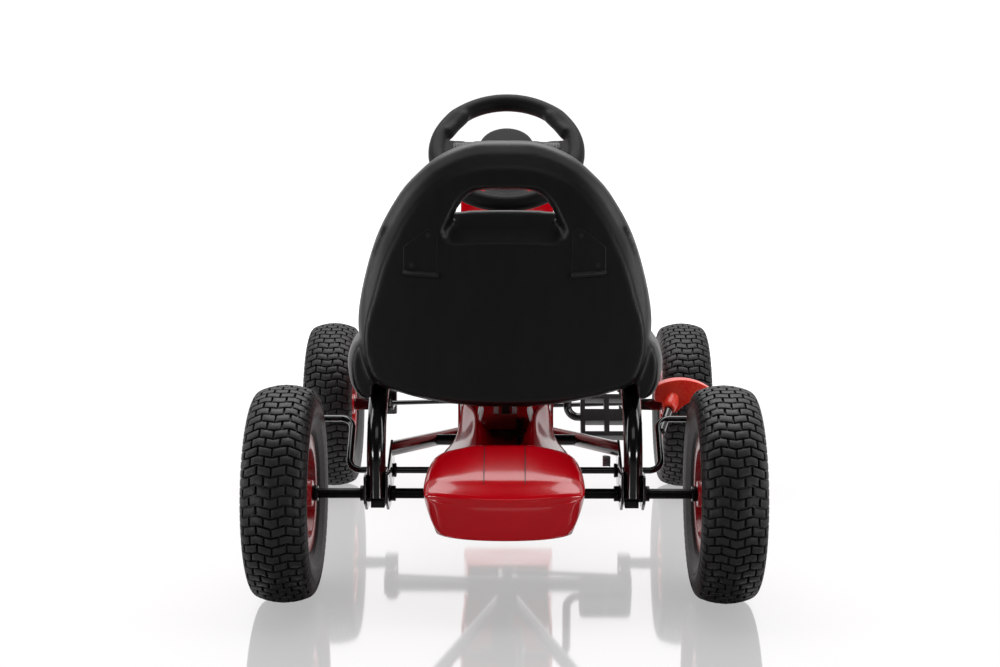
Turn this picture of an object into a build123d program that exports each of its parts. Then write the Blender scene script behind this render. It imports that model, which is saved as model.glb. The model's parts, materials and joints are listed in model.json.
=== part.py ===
"""A child's pedal go kart: steel tube frame, pneumatic wheels, moulded seat, chain drive and brake lever.

Millimetres. +Z is up and +Y is the way the kart drives, so +X is the driver's right. The origin lies on
the ground under the middle of the kart. ahead() turns a distance ahead of the rear axle into a Y
coordinate, and above_axles() turns a height over the axles into a height over the ground. The seat, the
steering wheel, the crank and the roofs of the covers keep their own heights over the ground.
"""

from build123d import *
import os
from math import acos, atan2, cos, degrees, radians, sin

os.makedirs("parts", exist_ok=True)

# ---------------------------------------------------------------- driving dimensions
overall_length = 970.0
wheelbase = 650.0
rear_track = 511.0
front_track = 541.0

wheel_radius = 127.0
tyre_width = 74.0
tyre_wall = 6.0
tread_thickness = 9.0
bead_seat_radius = 61.0
rim_flange_radius = 69.0
rim_width = 56.0
rim_wall = 3.0
inner_tube_wall = 2.0
hub_radius = 17.0
hub_length = 62.0
hub_cap_radius = 27.0
hub_cap_wall = 3.0
spoke_count = 5

axle_radius = 6.0
running_clearance = 0.05
rest_gap = 0.3
collar_radius = 9.0
collar_length = 6.0
push_nut_radius = 11.0
push_nut_thickness = 1.4
axle_overhang = 2.0

hoop_x = 148.0
hoop_radius = 11.0
hoop_wall = 1.8
hoop_height = 248.0
hoop_bend = 84.0
hoop_front = 232.0
hoop_foot_rise = 1.0

cheek_thickness = 3.0
cheek_corner = 5.0
bearing_radius = 10.0
bearing_overhang = 0.4
hoop_bearing_gap = 1.0
hoop_setback = hoop_radius + bearing_radius + hoop_bearing_gap
bearing_foot = (16.0, 18.0, 9.0)

fork_radius = 9.0
fork_wall = 1.6
fork_rear_ahead = 56.0
fork_rear_rise = 43.0
fork_joint_ahead = 442.0
main_tube_radius = 16.0
main_tube_wall = 2.0
main_tube_rear_rise = 1.0
main_tube_front_rise = 57.0
beam_rise = 35.0
beam_radius = 12.7
beam_wall = 2.0
cross_tube_ahead = 182.0
cross_tube_radius = 7.0
cross_tube_wall = 1.5
tab_x = -14.0
tab_width = 30.0
nose_strap_width = 30.0
nose_strap_length = 150.0
nose_strap_thickness = 4.0

kingpin_x = 183.0
kingpin_radius = 5.0
kingpin_sleeve_radius = 10.0
kingpin_sleeve_half = 15.0
kingpin_sleeve_wall = 3.0
kingpin_overhang = 9.0
knuckle_width = 20.0
knuckle_depth = 26.0
knuckle_chamfer = 4.0
knuckle_arm_thickness = 6.0
kingpin_nut_radius = 9.0
kingpin_nut_height = 7.0
tie_rod_radius = 3.5
tie_rod_rise = 9.0
tie_rod_pin_radius = 3.0
tie_rod_pin_length = 10.0
tie_rod_play = 2.1
eye_half = 3.5
eye_wall = 3.5
eye_gap = 2.5
pitman_length = 28.0
pitman_lift = 1.2
pitman_thickness = 4.0
pitman_foot_radius = 10.0
pitman_tip_radius = 7.0

steering_wheel_ahead = 306.0
steering_wheel_height = 522.0
column_tilt = 41.0
column_radius = 6.0
steering_wheel_half_width = 104.0
steering_wheel_half_height = 111.5
grip_radius = 12.5
spoke_height = 34.0
lower_spoke_width = 44.0
spoke_thickness = 14.0
hub_pad_radius = 36.0
hub_pad_thickness = 12.0
hub_pad_edge = 5.0
column_bush_wall = 3.0
column_bush_length = 22.0
column_tube_wall = 2.0
column_tube_bottom = 13.0
column_tube_length = 300.0
column_top_drop = 14.0

crank_ahead = 485.0
crank_height = 225.0
crank_length = 90.0
crank_radius = 6.0
crank_arm_x = 88.0
crank_bend = 16.0
crank_end_gap = 6.0
shell_radius = 13.0
shell_inner = 10.0
shell_start = -40.0
shell_end = 8.0
shell_bush_length = 12.0
post_x = -12.0
post_width = 22.0
post_depth = 18.0
post_rise = 15.0
pedal_inner_x = 107.0
pedal_width = 76.0
pedal_depth = 64.0
pedal_thickness = 22.0
pedal_tilt = 62.0
pedal_corner = 8.0
pedal_slot_height = 16.0
pedal_slot_spacing = 34.0
pedal_rib = 3.0

chain_pitch = 12.7
chainring_teeth = 20
axle_sprocket_teeth = 12
chain_x = 18.0
sprocket_thickness = 3.0
link_half_height = 4.2
link_plate = 1.8
roller_radius = 3.9
roller_play = 0.2
link_play = 1.6
tooth_height = 3.2
sprocket_boss_wall = 6.0
sprocket_boss_length = 7.0

brake_ahead = 62.0
brake_rise = 15.0
brake_rod_radius = 4.0
brake_arm_x = 188.0
brake_pad_angle = 30.0
brake_pad_gap = 5.7
brake_pad_x = 262.0
brake_bend = 15.0
brake_bush_wall = 2.5
brake_bush_flange = 3.0
brake_bush_flange_wall = 4.5
lever_radius = 5.0
lever_foot_drop = 13.0
lever_lean = 23.0
lever_reach = 40.0
lever_rise = 24.0
grip_depth = 24.0
grip_reach = 30.0
spring_x = 122.0
spring_radius = 5.0
spring_wall = 1.2

cover_wall = 3.0

seat_front = 290.0
seat_rear = -20.0
seat_back_wall = 9.0
seat_rim_depth = 34.0
seat_hem = 7.0
seat_bolt_radius = 3.0
seat_bolt_distances = (105.0, 205.0)
seat_bolt_grip = 9.0
bolt_head_radius = 5.5
bolt_head_height = 4.0
bolt_clearance = 0.1

tunnel_half_width = 60.0
tunnel_rear = 158.0
tunnel_roof_rear = 222.0
tunnel_bottom = 152.0
tail_bottom = 97.0
tail_neck_length = 10.0
cowl_rear = 400.0
cowl_front = 700.0
cowl_overhang = 5.0
cowl_beam_gap = 7.3
nose_flare = 8.0
nose_screw_distances = (725.0, 765.0)
screw_radius = 2.0
screw_length = 11.0
screw_head_radius = 4.5
screw_head_height = 2.0

# ---------------------------------------------------------------- places worked out from them
rear_axle_y = -overall_length / 2 + wheel_radius
front_axle_y = rear_axle_y + wheelbase


def ahead(distance):
    """The Y coordinate of a place that far ahead of the rear axle."""
    return rear_axle_y + distance


def above_axles(rise):
    """The height over the ground of a place that far above the wheels' axles."""
    return wheel_radius + rise


beam_height = above_axles(beam_rise)
tie_rod_height = above_axles(tie_rod_rise)
fork_rear_height = above_axles(fork_rear_rise)
main_tube_rear_height = above_axles(main_tube_rear_rise)
main_tube_front_height = above_axles(main_tube_front_rise)
cheek_inner_x = hoop_x - hoop_radius
cheek_outer_x = hoop_x + hoop_radius
fork_rear_x = cheek_inner_x - cheek_thickness


def save(built, label):
    """Labels a finished sub-part and writes its STEP file."""
    built.part.label = label
    export_step(built.part, f"parts/{label}.step")


def mirrored(built):
    """The same sub-part on the kart's other side."""
    with BuildPart() as other:
        add(mirror(built.part, about=Plane.YZ))
    return other


def tube_between(start, end, radius, wall=0.0):
    """A straight round tube, or a solid bar where no wall is given."""
    along = Vector(*end) - Vector(*start)
    with BuildPart() as tube:
        with BuildSketch(Plane(origin=start, z_dir=along)):
            Circle(radius)
            if wall:
                Circle(radius - wall, mode=Mode.SUBTRACT)
        extrude(amount=along.length)
    return tube


def bent_tube(points, bend, radius, wall=0.0):
    """A round tube or bar that follows straight runs joined by bends."""
    with BuildPart() as tube:
        with BuildLine() as path:
            FilletPolyline(*points, radius=bend)
        with BuildSketch(Plane(origin=path.line @ 0, z_dir=path.line % 0)):
            Circle(radius)
            if wall:
                Circle(radius - wall, mode=Mode.SUBTRACT)
        sweep(path=path.line)
    return tube


def rod_along_x(start_x, end_x, y, z, radius, bore=0.0):
    """A round bar or sleeve that lies across the kart."""
    return tube_between((start_x, y, z), (end_x, y, z), radius, radius - bore if bore else 0.0)


# ================================================================ wheels
def wheel_plane(side, track, axle_y):
    """Local x points outboard and local y up, with the origin at the wheel's centre."""
    return Plane(
        origin=(side * track / 2, axle_y, wheel_radius),
        x_dir=(side, 0, 0),
        z_dir=(0, -side, 0),
    )


def tyre(plane):
    """A turf tyre: crowned tread, bulging walls and a bead on each side."""
    half = tyre_width / 2
    shoulder = half - 8
    bead = rim_width / 2 - rim_wall - 0.4
    bead_top = bead_seat_radius + 9
    bulge_radius = wheel_radius - 22
    with BuildPart() as made:
        with BuildSketch(plane):
            with BuildLine():
                ThreePointArc((-shoulder, wheel_radius - 6), (0, wheel_radius), (shoulder, wheel_radius - 6))
                ThreePointArc(
                    (shoulder, wheel_radius - 6), (half - 2, wheel_radius - 12), (half, bulge_radius),
                )
                ThreePointArc((half, bulge_radius), (half - 3, wheel_radius - 42), (bead, bead_top))
                Line((bead, bead_top), (bead, bead_seat_radius))
                Line((bead, bead_seat_radius), (bead - tyre_wall, bead_seat_radius))
                Line((bead - tyre_wall, bead_seat_radius), (bead - tyre_wall, bead_top))
                ThreePointArc(
                    (bead - tyre_wall, bead_top),
                    (half - tyre_wall - 3, wheel_radius - 40),
                    (half - tyre_wall, bulge_radius),
                )
                ThreePointArc(
                    (half - tyre_wall, bulge_radius),
                    (0, wheel_radius - tread_thickness),
                    (tyre_wall - half, bulge_radius),
                )
                ThreePointArc(
                    (tyre_wall - half, bulge_radius),
                    (tyre_wall + 3 - half, wheel_radius - 40),
                    (tyre_wall - bead, bead_top),
                )
                Line((tyre_wall - bead, bead_top), (tyre_wall - bead, bead_seat_radius))
                Line((tyre_wall - bead, bead_seat_radius), (-bead, bead_seat_radius))
                Line((-bead, bead_seat_radius), (-bead, bead_top))
                ThreePointArc((-bead, bead_top), (3 - half, wheel_radius - 42), (-half, bulge_radius))
                ThreePointArc(
                    (-half, bulge_radius), (2 - half, wheel_radius - 12), (-shoulder, wheel_radius - 6),
                )
            make_face()
        revolve(axis=Axis(plane.origin, (1, 0, 0)))
    return made


def inner_tube(plane):
    """The air-filled tube between the tyre and the rim."""
    half = rim_width / 2 - rim_wall - tyre_wall - 2
    middle = (bead_seat_radius + wheel_radius - tread_thickness) / 2
    tall = (wheel_radius - tread_thickness - bead_seat_radius) / 2 - rest_gap
    with BuildPart() as made:
        with BuildSketch(plane):
            with Locations((0, middle)):
                Ellipse(half, tall)
                Ellipse(half - inner_tube_wall, tall - inner_tube_wall, mode=Mode.SUBTRACT)
        revolve(axis=Axis(plane.origin, (1, 0, 0)))
    return made


def rim(plane, bore):
    """A one-piece rim: flanged barrel, dished spoked disc and a long hub."""
    half = rim_width / 2
    disc_outer = 9.0
    disc_thickness = 6.0
    well = bead_seat_radius - 6
    spoke_ring_outer = rim_flange_radius - 22
    spoke_ring_inner = hub_radius + 7
    with BuildPart() as made:
        with BuildSketch(plane):
            with BuildLine():
                Polyline(
                    (-half, rim_flange_radius),
                    (-half, well - rim_wall),
                    (disc_outer - disc_thickness, well - rim_wall),
                    (disc_outer - disc_thickness - 5, hub_radius + 4),
                    (-hub_length / 2, hub_radius - 2),
                    (-hub_length / 2, bore),
                    (hub_length / 2, bore),
                    (hub_length / 2, hub_radius - 2),
                    (disc_outer - 5, hub_radius + 4),
                    (disc_outer, well - rim_wall),
                    (half, well - rim_wall),
                    (half, rim_flange_radius),
                    (half - rim_wall, rim_flange_radius),
                    (half - rim_wall, bead_seat_radius - 0.3),
                    (half - 14, bead_seat_radius - 0.3),
                    (half - 18, well),
                    (18 - half, well),
                    (14 - half, bead_seat_radius - 0.3),
                    (rim_wall - half, bead_seat_radius - 0.3),
                    (rim_wall - half, rim_flange_radius),
                    close=True,
                )
            make_face()
        revolve(axis=Axis(plane.origin, (1, 0, 0)))
        window = Plane(origin=plane.origin, x_dir=(0, 1, 0), z_dir=(1, 0, 0))
        with BuildSketch(window.offset(-rim_width)):
            with PolarLocations(0, spoke_count, start_angle=90):
                with Locations((36, 0)):
                    Trapezoid(22, 19, 76, rotation=-90)
            Circle(spoke_ring_outer, mode=Mode.INTERSECT)
            Circle(spoke_ring_inner, mode=Mode.SUBTRACT)
        extrude(amount=2 * rim_width, mode=Mode.SUBTRACT)
    return made


def hub_cap(plane):
    """A domed cap that snaps over the hub's outer end and hides its nut."""
    skirt_start = hub_length / 2 - 12
    crown = tyre_width / 2 - 0.5
    inner_face = Plane(origin=plane.from_local_coords((skirt_start, 0, 0)), z_dir=plane.x_dir)
    with BuildPart() as made:
        with BuildSketch(inner_face):
            Circle(hub_cap_radius)
        extrude(amount=crown - skirt_start)
        outward = Axis(tuple(inner_face.origin), tuple(plane.x_dir))
        fillet(made.faces().sort_by(outward)[-1].edges(), radius=hub_cap_radius / 2.5)
        with BuildSketch(inner_face):
            Circle(hub_radius + 1)
        extrude(amount=hub_length / 2 + rest_gap - skirt_start, mode=Mode.SUBTRACT)
        with BuildSketch(inner_face):
            Circle(hub_radius - 4)
        extrude(amount=crown - hub_cap_wall - skirt_start, mode=Mode.SUBTRACT)
    return made


fixed_bore = axle_radius
free_bore = axle_radius + running_clearance
rear_planes = {
    "left": wheel_plane(-1, rear_track, rear_axle_y),
    "right": wheel_plane(1, rear_track, rear_axle_y),
}
front_planes = {
    "left": wheel_plane(-1, front_track, front_axle_y),
    "right": wheel_plane(1, front_track, front_axle_y),
}
for place, planes in (("rear", rear_planes), ("front", front_planes)):
    for side_name, plane in planes.items():
        driven = place == "rear" and side_name == "right"
        save(tyre(plane), f"{place}_tyre_{side_name}")
        save(inner_tube(plane), f"{place}_inner_tube_{side_name}")
        save(rim(plane, fixed_bore if driven else free_bore), f"{place}_rim_{side_name}")
        save(hub_cap(plane), f"{place}_hub_cap_{side_name}")

# ================================================================ rear axle
axle_end = rear_track / 2 + hub_length / 2 + axle_overhang
rear_axle = rod_along_x(-axle_end, axle_end, rear_axle_y, wheel_radius, axle_radius)
save(rear_axle, "rear_axle")

bearing_half = hoop_radius + cheek_thickness + bearing_overhang
collar_places = [
    hoop_x - bearing_half - rest_gap - collar_length,
    hoop_x + bearing_half + rest_gap,
    rear_track / 2 - hub_length / 2 - rest_gap - collar_length,
]
with BuildPart() as axle_collars:
    for side in (-1, 1):
        for inner_x in collar_places:
            start = side * inner_x
            end = side * (inner_x + collar_length)
            add(rod_along_x(start, end, rear_axle_y, wheel_radius, collar_radius, axle_radius).part)
save(axle_collars, "axle_collars")


def push_nut(side, track, y):
    """The sprung washer that keeps a wheel on the end of its axle."""
    start = side * (track / 2 + hub_length / 2 + rest_gap)
    end = start + side * push_nut_thickness
    return rod_along_x(start, end, y, wheel_radius, push_nut_radius, axle_radius)


with BuildPart() as rear_push_nuts:
    for side in (-1, 1):
        add(push_nut(side, rear_track, rear_axle_y).part)
save(rear_push_nuts, "rear_push_nuts")

pitch_radius = {n: chain_pitch / (2 * sin(radians(180 / n))) for n in (chainring_teeth, axle_sprocket_teeth)}


def sprocket(y, z, teeth, bore, hole_radius=0.0, hole_count=5):
    """A flat sprocket cut for roller chain, with a hub boss and, on a large one, lightening holes."""
    face = Plane(origin=(chain_x - sprocket_thickness / 2, y, z), x_dir=(0, 1, 0), z_dir=(1, 0, 0))
    radius = pitch_radius[teeth]
    with BuildPart() as made:
        with BuildSketch(face):
            Circle(radius + tooth_height)
            with PolarLocations(radius, teeth):
                Circle(roller_radius + roller_play, mode=Mode.SUBTRACT)
            if hole_radius:
                with PolarLocations((radius + bore + sprocket_boss_wall) / 2, hole_count):
                    Circle(hole_radius, mode=Mode.SUBTRACT)
            Circle(bore, mode=Mode.SUBTRACT)
        extrude(amount=sprocket_thickness)
        with BuildSketch(face.offset(sprocket_thickness)):
            Circle(bore + sprocket_boss_wall)
            Circle(bore, mode=Mode.SUBTRACT)
        extrude(amount=sprocket_boss_length)
    return made


save(sprocket(rear_axle_y, wheel_radius, axle_sprocket_teeth, axle_radius), "axle_sprocket")

# ================================================================ rear frame
fork_joint_x = main_tube_radius - 4
fork_joint_height = main_tube_rear_height + 2
fork_direction = Vector(
    fork_joint_x - fork_rear_x,
    fork_joint_ahead - fork_rear_ahead,
    fork_joint_height - fork_rear_height,
)
main_tube_start = (0, ahead(fork_joint_ahead - 14), main_tube_rear_height)
main_tube_end = (0, front_axle_y, main_tube_front_height)

column_axis = Vector(0, -sin(radians(column_tilt)), cos(radians(column_tilt)))
column_arm = Vector(0, -cos(radians(column_tilt)), -sin(radians(column_tilt)))
wheel_centre = Vector(0, ahead(steering_wheel_ahead), steering_wheel_height)
column_foot_height = tie_rod_height + pitman_length * sin(radians(column_tilt))
column_length = (steering_wheel_height - column_foot_height) / cos(radians(column_tilt))
column_foot = wheel_centre - column_axis * column_length
column_tube_radius = column_radius + column_bush_wall + column_tube_wall

with BuildPart() as main_tube:
    add(tube_between(main_tube_start, main_tube_end, main_tube_radius, main_tube_wall).part)
    split(bisect_by=Plane(origin=(0, front_axle_y, 0), z_dir=(0, 1, 0)), keep=Keep.BOTTOM)
    add(rod_along_x(-60, 60, front_axle_y, beam_height, beam_radius).part, mode=Mode.SUBTRACT)
    add(
        tube_between(tuple(column_foot), tuple(wheel_centre), column_tube_radius).part,
        mode=Mode.SUBTRACT,
    )
save(main_tube, "main_tube")


def fork_ends(side):
    """Where a fork tube's middle line meets its bracket and the main tube."""
    outer = Vector(side * fork_rear_x, ahead(fork_rear_ahead), fork_rear_height)
    inner = outer + Vector(side * fork_direction.X, fork_direction.Y, fork_direction.Z)
    return outer, inner


def fork_tube(side):
    """A frame tube from the main tube out to the bracket that carries the rear axle."""
    outer, inner = fork_ends(side)
    past_bracket = outer - (inner - outer).normalized() * 30
    with BuildPart() as made:
        add(tube_between(tuple(past_bracket), tuple(inner), fork_radius, fork_wall).part)
        split(bisect_by=Plane(origin=tuple(outer), z_dir=(side, 0, 0)), keep=Keep.BOTTOM)
        add(tube_between(main_tube_start, main_tube_end, main_tube_radius).part, mode=Mode.SUBTRACT)
    return made


fork_right = fork_tube(1)
save(fork_right, "fork_tube_right")
save(mirrored(fork_right), "fork_tube_left")

cross_share = (cross_tube_ahead - fork_rear_ahead) / fork_direction.Y
cross_height = fork_rear_height + cross_share * fork_direction.Z
cross_end_x = fork_rear_x + cross_share * fork_direction.X
tab_height = tunnel_roof_rear - cover_wall - cross_height


def cross_rod(radius, bore=0.0):
    """A bar or tube across the kart, between the middle lines of the fork tubes."""
    return rod_along_x(-cross_end_x, cross_end_x, ahead(cross_tube_ahead), cross_height, radius, bore)


with BuildPart() as cross_tube:
    add(cross_rod(cross_tube_radius, cross_tube_radius - cross_tube_wall).part)
    with Locations((tab_x, ahead(cross_tube_ahead), cross_height + tab_height / 2)):
        Box(tab_width, cheek_thickness, tab_height)
    for side in (-1, 1):
        outer, inner = fork_ends(side)
        add(tube_between(tuple(outer), tuple(inner), fork_radius).part, mode=Mode.SUBTRACT)
save(cross_tube, "cover_cross_tube")


def seat_hoop(side):
    """A bent tube that rises behind the rear axle and runs forward under the seat."""
    points = [
        (side * hoop_x, ahead(-hoop_setback), above_axles(hoop_foot_rise)),
        (side * hoop_x, ahead(-hoop_setback), hoop_height),
        (side * hoop_x, ahead(hoop_front), hoop_height),
    ]
    with BuildPart() as made:
        add(bent_tube(points, hoop_bend, hoop_radius, hoop_wall).part)
        with BuildSketch(Plane.XY.offset(hoop_height - 2 * hoop_radius)):
            with Locations(*[(side * hoop_x, ahead(distance)) for distance in seat_bolt_distances]):
                Circle(seat_bolt_radius + bolt_clearance)
        extrude(amount=4 * hoop_radius, mode=Mode.SUBTRACT)
    return made


hoop_right = seat_hoop(1)
save(hoop_right, "seat_hoop_right")
save(mirrored(hoop_right), "seat_hoop_left")


brake_pivot = (ahead(brake_ahead), above_axles(brake_rise))


def axle_bracket():
    """Two welded cheek plates that hold the bearing, the hoop's foot, the fork tube and the brake pivot."""
    rear = -hoop_setback - hoop_radius
    inner_outline = [
        (rear, -5), (-12, -17), (14, -17),
        (brake_ahead + 10, brake_rise - 11), (brake_ahead + 13, brake_rise + 8),
        (fork_rear_ahead + 16, fork_rear_rise + 6), (fork_rear_ahead - 4, fork_rear_rise + 11), (26, 45),
        (-6, 31), (rear, 31),
    ]
    outer_outline = [
        (rear, -5), (-12, -17), (14, -17),
        (brake_ahead + 8, brake_rise - 10), (brake_ahead + 11, brake_rise + 4),
        (brake_ahead + 2, brake_rise + 11), (20, 21), (-6, 27), (rear, 27),
    ]
    with BuildPart() as made:
        for outline, start_x in ((inner_outline, fork_rear_x), (outer_outline, cheek_outer_x)):
            plate = Plane(origin=(start_x, 0, 0), x_dir=(0, 1, 0), z_dir=(1, 0, 0))
            with BuildSketch(plate) as cheek:
                with BuildLine():
                    corners = [(ahead(distance), above_axles(rise)) for distance, rise in outline]
                    Polyline(*corners, close=True)
                make_face()
                fillet(cheek.vertices(), radius=cheek_corner)
                with Locations((rear_axle_y, wheel_radius)):
                    Circle(bearing_radius, mode=Mode.SUBTRACT)
                with Locations(brake_pivot):
                    Circle(brake_rod_radius + brake_bush_wall, mode=Mode.SUBTRACT)
            extrude(amount=cheek_thickness)
    return made


bracket_right = axle_bracket()
save(bracket_right, "axle_bracket_right")
save(mirrored(bracket_right), "axle_bracket_left")

with BuildPart() as rear_bearings:
    for side in (-1, 1):
        start = side * hoop_x - bearing_half
        add(rod_along_x(start, start + 2 * bearing_half, rear_axle_y, wheel_radius, bearing_radius).part)
        with Locations((side * hoop_x, rear_axle_y, wheel_radius - bearing_radius - 1)):
            Box(*bearing_foot)
    add(rod_along_x(-axle_end, axle_end, rear_axle_y, wheel_radius, free_bore).part, mode=Mode.SUBTRACT)
save(rear_bearings, "rear_bearings")

# ================================================================ front frame
nose_strap_top = beam_height - beam_radius + 1.5
nose_floor = nose_strap_top - nose_strap_thickness - rest_gap - cover_wall
with BuildPart() as front_beam:
    beam_bore = beam_radius - beam_wall
    add(rod_along_x(-kingpin_x, kingpin_x, front_axle_y, beam_height, beam_radius, beam_bore).part)
    for side in (-1, 1):
        with Locations((side * kingpin_x, front_axle_y, beam_height)):
            Cylinder(kingpin_sleeve_radius + kingpin_sleeve_wall, 2 * kingpin_sleeve_half)
            Cylinder(kingpin_radius + running_clearance, 4 * kingpin_sleeve_half, mode=Mode.SUBTRACT)
    with Locations((0, front_axle_y + nose_strap_length / 2 - beam_radius, nose_strap_top)):
        Box(
            nose_strap_width,
            nose_strap_length,
            nose_strap_thickness,
            align=(Align.CENTER, Align.CENTER, Align.MAX),
        )
    with Locations(*[(0, ahead(distance), nose_strap_top) for distance in nose_screw_distances]):
        Cylinder(screw_radius, 3 * nose_strap_thickness, mode=Mode.SUBTRACT)
save(front_beam, "front_beam")

# ================================================================ steering
tie_rod_outer_y = column_foot.Y + column_arm.Y * pitman_length
arm_top = tie_rod_height - eye_half - rest_gap
block_top = beam_height - kingpin_sleeve_half - rest_gap
block_bottom = 2 * wheel_radius - block_top + 6


def knuckle(side):
    """A steering knuckle: kingpin, block, stub axle and the arm that the tie rod turns it by."""
    stub_end = front_track / 2 + hub_length / 2 + axle_overhang
    with BuildPart() as made:
        with Locations((side * kingpin_x, front_axle_y, (block_bottom + block_top) / 2)):
            Box(knuckle_width, knuckle_depth, block_top - block_bottom)
        chamfer(made.edges().filter_by(Axis.Z), length=knuckle_chamfer)
        add(rod_along_x(side * kingpin_x, side * stub_end, front_axle_y, wheel_radius, axle_radius).part)
        shoulder_end = side * (front_track / 2 - hub_length / 2 - rest_gap)
        add(rod_along_x(side * kingpin_x, shoulder_end, front_axle_y, wheel_radius, collar_radius).part)
        with Locations((side * kingpin_x, front_axle_y, block_top)):
            Cylinder(
                kingpin_radius,
                2 * kingpin_sleeve_half + kingpin_overhang,
                align=(Align.CENTER, Align.CENTER, Align.MIN),
            )
        with BuildSketch(Plane.XY.offset(arm_top - knuckle_arm_thickness)):
            with BuildLine():
                Polyline(
                    (side * (kingpin_x - 9), front_axle_y),
                    (side * (kingpin_x - 6), tie_rod_outer_y),
                    (side * (kingpin_x + 6), tie_rod_outer_y),
                    (side * (kingpin_x + 9), front_axle_y),
                    close=True,
                )
            make_face()
            with Locations((side * kingpin_x, tie_rod_outer_y)):
                Circle(tie_rod_pin_radius + 5)
        extrude(amount=knuckle_arm_thickness)
        with Locations((side * kingpin_x, tie_rod_outer_y, arm_top)):
            Cylinder(tie_rod_pin_radius, tie_rod_pin_length, align=(Align.CENTER, Align.CENTER, Align.MIN))
    return made


def knuckle_nuts(side):
    """The nut on the kingpin and the push nut that keeps the wheel on its stub axle."""
    nut_bottom = beam_height + kingpin_sleeve_half + rest_gap
    with BuildPart() as made:
        with BuildSketch(Plane.XY.offset(nut_bottom)):
            with Locations((side * kingpin_x, front_axle_y)):
                RegularPolygon(kingpin_nut_radius, 6)
                Circle(kingpin_radius, mode=Mode.SUBTRACT)
        extrude(amount=kingpin_nut_height)
        add(push_nut(side, front_track, front_axle_y).part)
    return made


tie_eye_offset = pitman_thickness / 2 + eye_gap + eye_half


def tie_rod(side):
    """A tie rod: a vertical eye on the knuckle's pin and a tilted eye on the pitman arm's pin."""
    eye_radius = tie_rod_pin_radius + running_clearance + eye_wall
    loose_radius = tie_rod_pin_radius + tie_rod_play
    inner_centre = Vector(0, tie_rod_outer_y, tie_rod_height) - column_axis * side * tie_eye_offset
    outer_centre = Vector(side * kingpin_x, tie_rod_outer_y, tie_rod_height)
    with BuildPart() as made:
        add(tube_between(tuple(inner_centre), tuple(outer_centre), tie_rod_radius).part)
        with BuildSketch(Plane.XY.offset(tie_rod_height - eye_half)):
            with Locations((side * kingpin_x, tie_rod_outer_y)):
                Circle(eye_radius)
        extrude(amount=2 * eye_half)
        with BuildSketch(Plane(origin=tuple(inner_centre - column_axis * eye_half), z_dir=column_axis)):
            Circle(loose_radius + eye_wall)
        extrude(amount=2 * eye_half)
        with BuildSketch(Plane.XY.offset(tie_rod_height - 2 * eye_half)):
            with Locations((side * kingpin_x, tie_rod_outer_y)):
                Circle(tie_rod_pin_radius + running_clearance)
        extrude(amount=4 * eye_half, mode=Mode.SUBTRACT)
        with BuildSketch(Plane(origin=tuple(inner_centre - column_axis * 2 * eye_half), z_dir=column_axis)):
            Circle(loose_radius)
        extrude(amount=4 * eye_half, mode=Mode.SUBTRACT)
    return made


for side, side_name in ((-1, "left"), (1, "right")):
    save(knuckle(side), f"knuckle_{side_name}")
    save(knuckle_nuts(side), f"knuckle_nuts_{side_name}")
    save(tie_rod(side), f"tie_rod_{side_name}")

foot_plane = Plane(
    origin=tuple(column_foot - column_axis * pitman_thickness / 2),
    x_dir=(1, 0, 0),
    z_dir=column_axis,
)
pin_place = foot_plane.to_local_coords(column_foot + column_arm * (pitman_length + pitman_lift)).Y
pin_reach = 2 * eye_half + eye_gap + 2
foot_flank = pitman_foot_radius - 1
tip_flank = pitman_tip_radius - 1
with BuildPart() as pitman_arm:
    with BuildSketch(foot_plane):
        Circle(pitman_foot_radius)
        with Locations((0, pin_place)):
            Circle(pitman_tip_radius)
        with BuildLine():
            Polyline(
                (-foot_flank, 0), (-tip_flank, pin_place), (tip_flank, pin_place), (foot_flank, 0),
                close=True,
            )
        make_face()
    extrude(amount=pitman_thickness)
    with BuildSketch(foot_plane.offset(-pin_reach)):
        with Locations((0, pin_place)):
            Circle(tie_rod_pin_radius)
    extrude(amount=pitman_thickness + 2 * pin_reach)
    add(tube_between(tuple(column_foot), tuple(wheel_centre), column_radius).part, mode=Mode.SUBTRACT)
save(pitman_arm, "pitman_arm")

column_top = wheel_centre - column_axis * column_top_drop
steering_column = tube_between(tuple(column_foot), tuple(column_top), column_radius)
save(steering_column, "steering_column")

tube_bottom = column_foot + column_axis * column_tube_bottom
tube_top = tube_bottom + column_axis * column_tube_length
column_tube = tube_between(tuple(tube_bottom), tuple(tube_top), column_tube_radius, column_tube_wall)
save(column_tube, "column_tube")

with BuildPart() as column_bushes:
    for start in (tube_bottom, tube_top - column_axis * column_bush_length):
        end = start + column_axis * column_bush_length
        add(tube_between(tuple(start), tuple(end), column_radius + column_bush_wall).part)
    add(
        tube_between(tuple(column_foot), tuple(wheel_centre), column_radius + running_clearance).part,
        mode=Mode.SUBTRACT,
    )

wheel_plane_tilted = Plane(origin=tuple(wheel_centre), x_dir=(1, 0, 0), z_dir=column_axis)
ring_half = (steering_wheel_half_width - grip_radius, steering_wheel_half_height - grip_radius)
with BuildPart() as steering_wheel:
    with BuildLine(wheel_plane_tilted) as ring_path:
        EllipticalCenterArc((0, 0), *ring_half, start_angle=0, arc_size=180)
        EllipticalCenterArc((0, 0), *ring_half, start_angle=180, arc_size=180)
    with BuildSketch(Plane(origin=ring_path.wire() @ 0, z_dir=ring_path.wire() % 0)):
        Circle(grip_radius)
    sweep(path=ring_path.wire())
    with BuildSketch(wheel_plane_tilted.offset(-column_top_drop)):
        Circle(hub_pad_radius - 4)
        Rectangle(2 * ring_half[0], spoke_height)
        with Locations((0, -ring_half[1] / 2)):
            Rectangle(lower_spoke_width, ring_half[1])
    extrude(amount=spoke_thickness)
save(steering_wheel, "steering_wheel")

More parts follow.
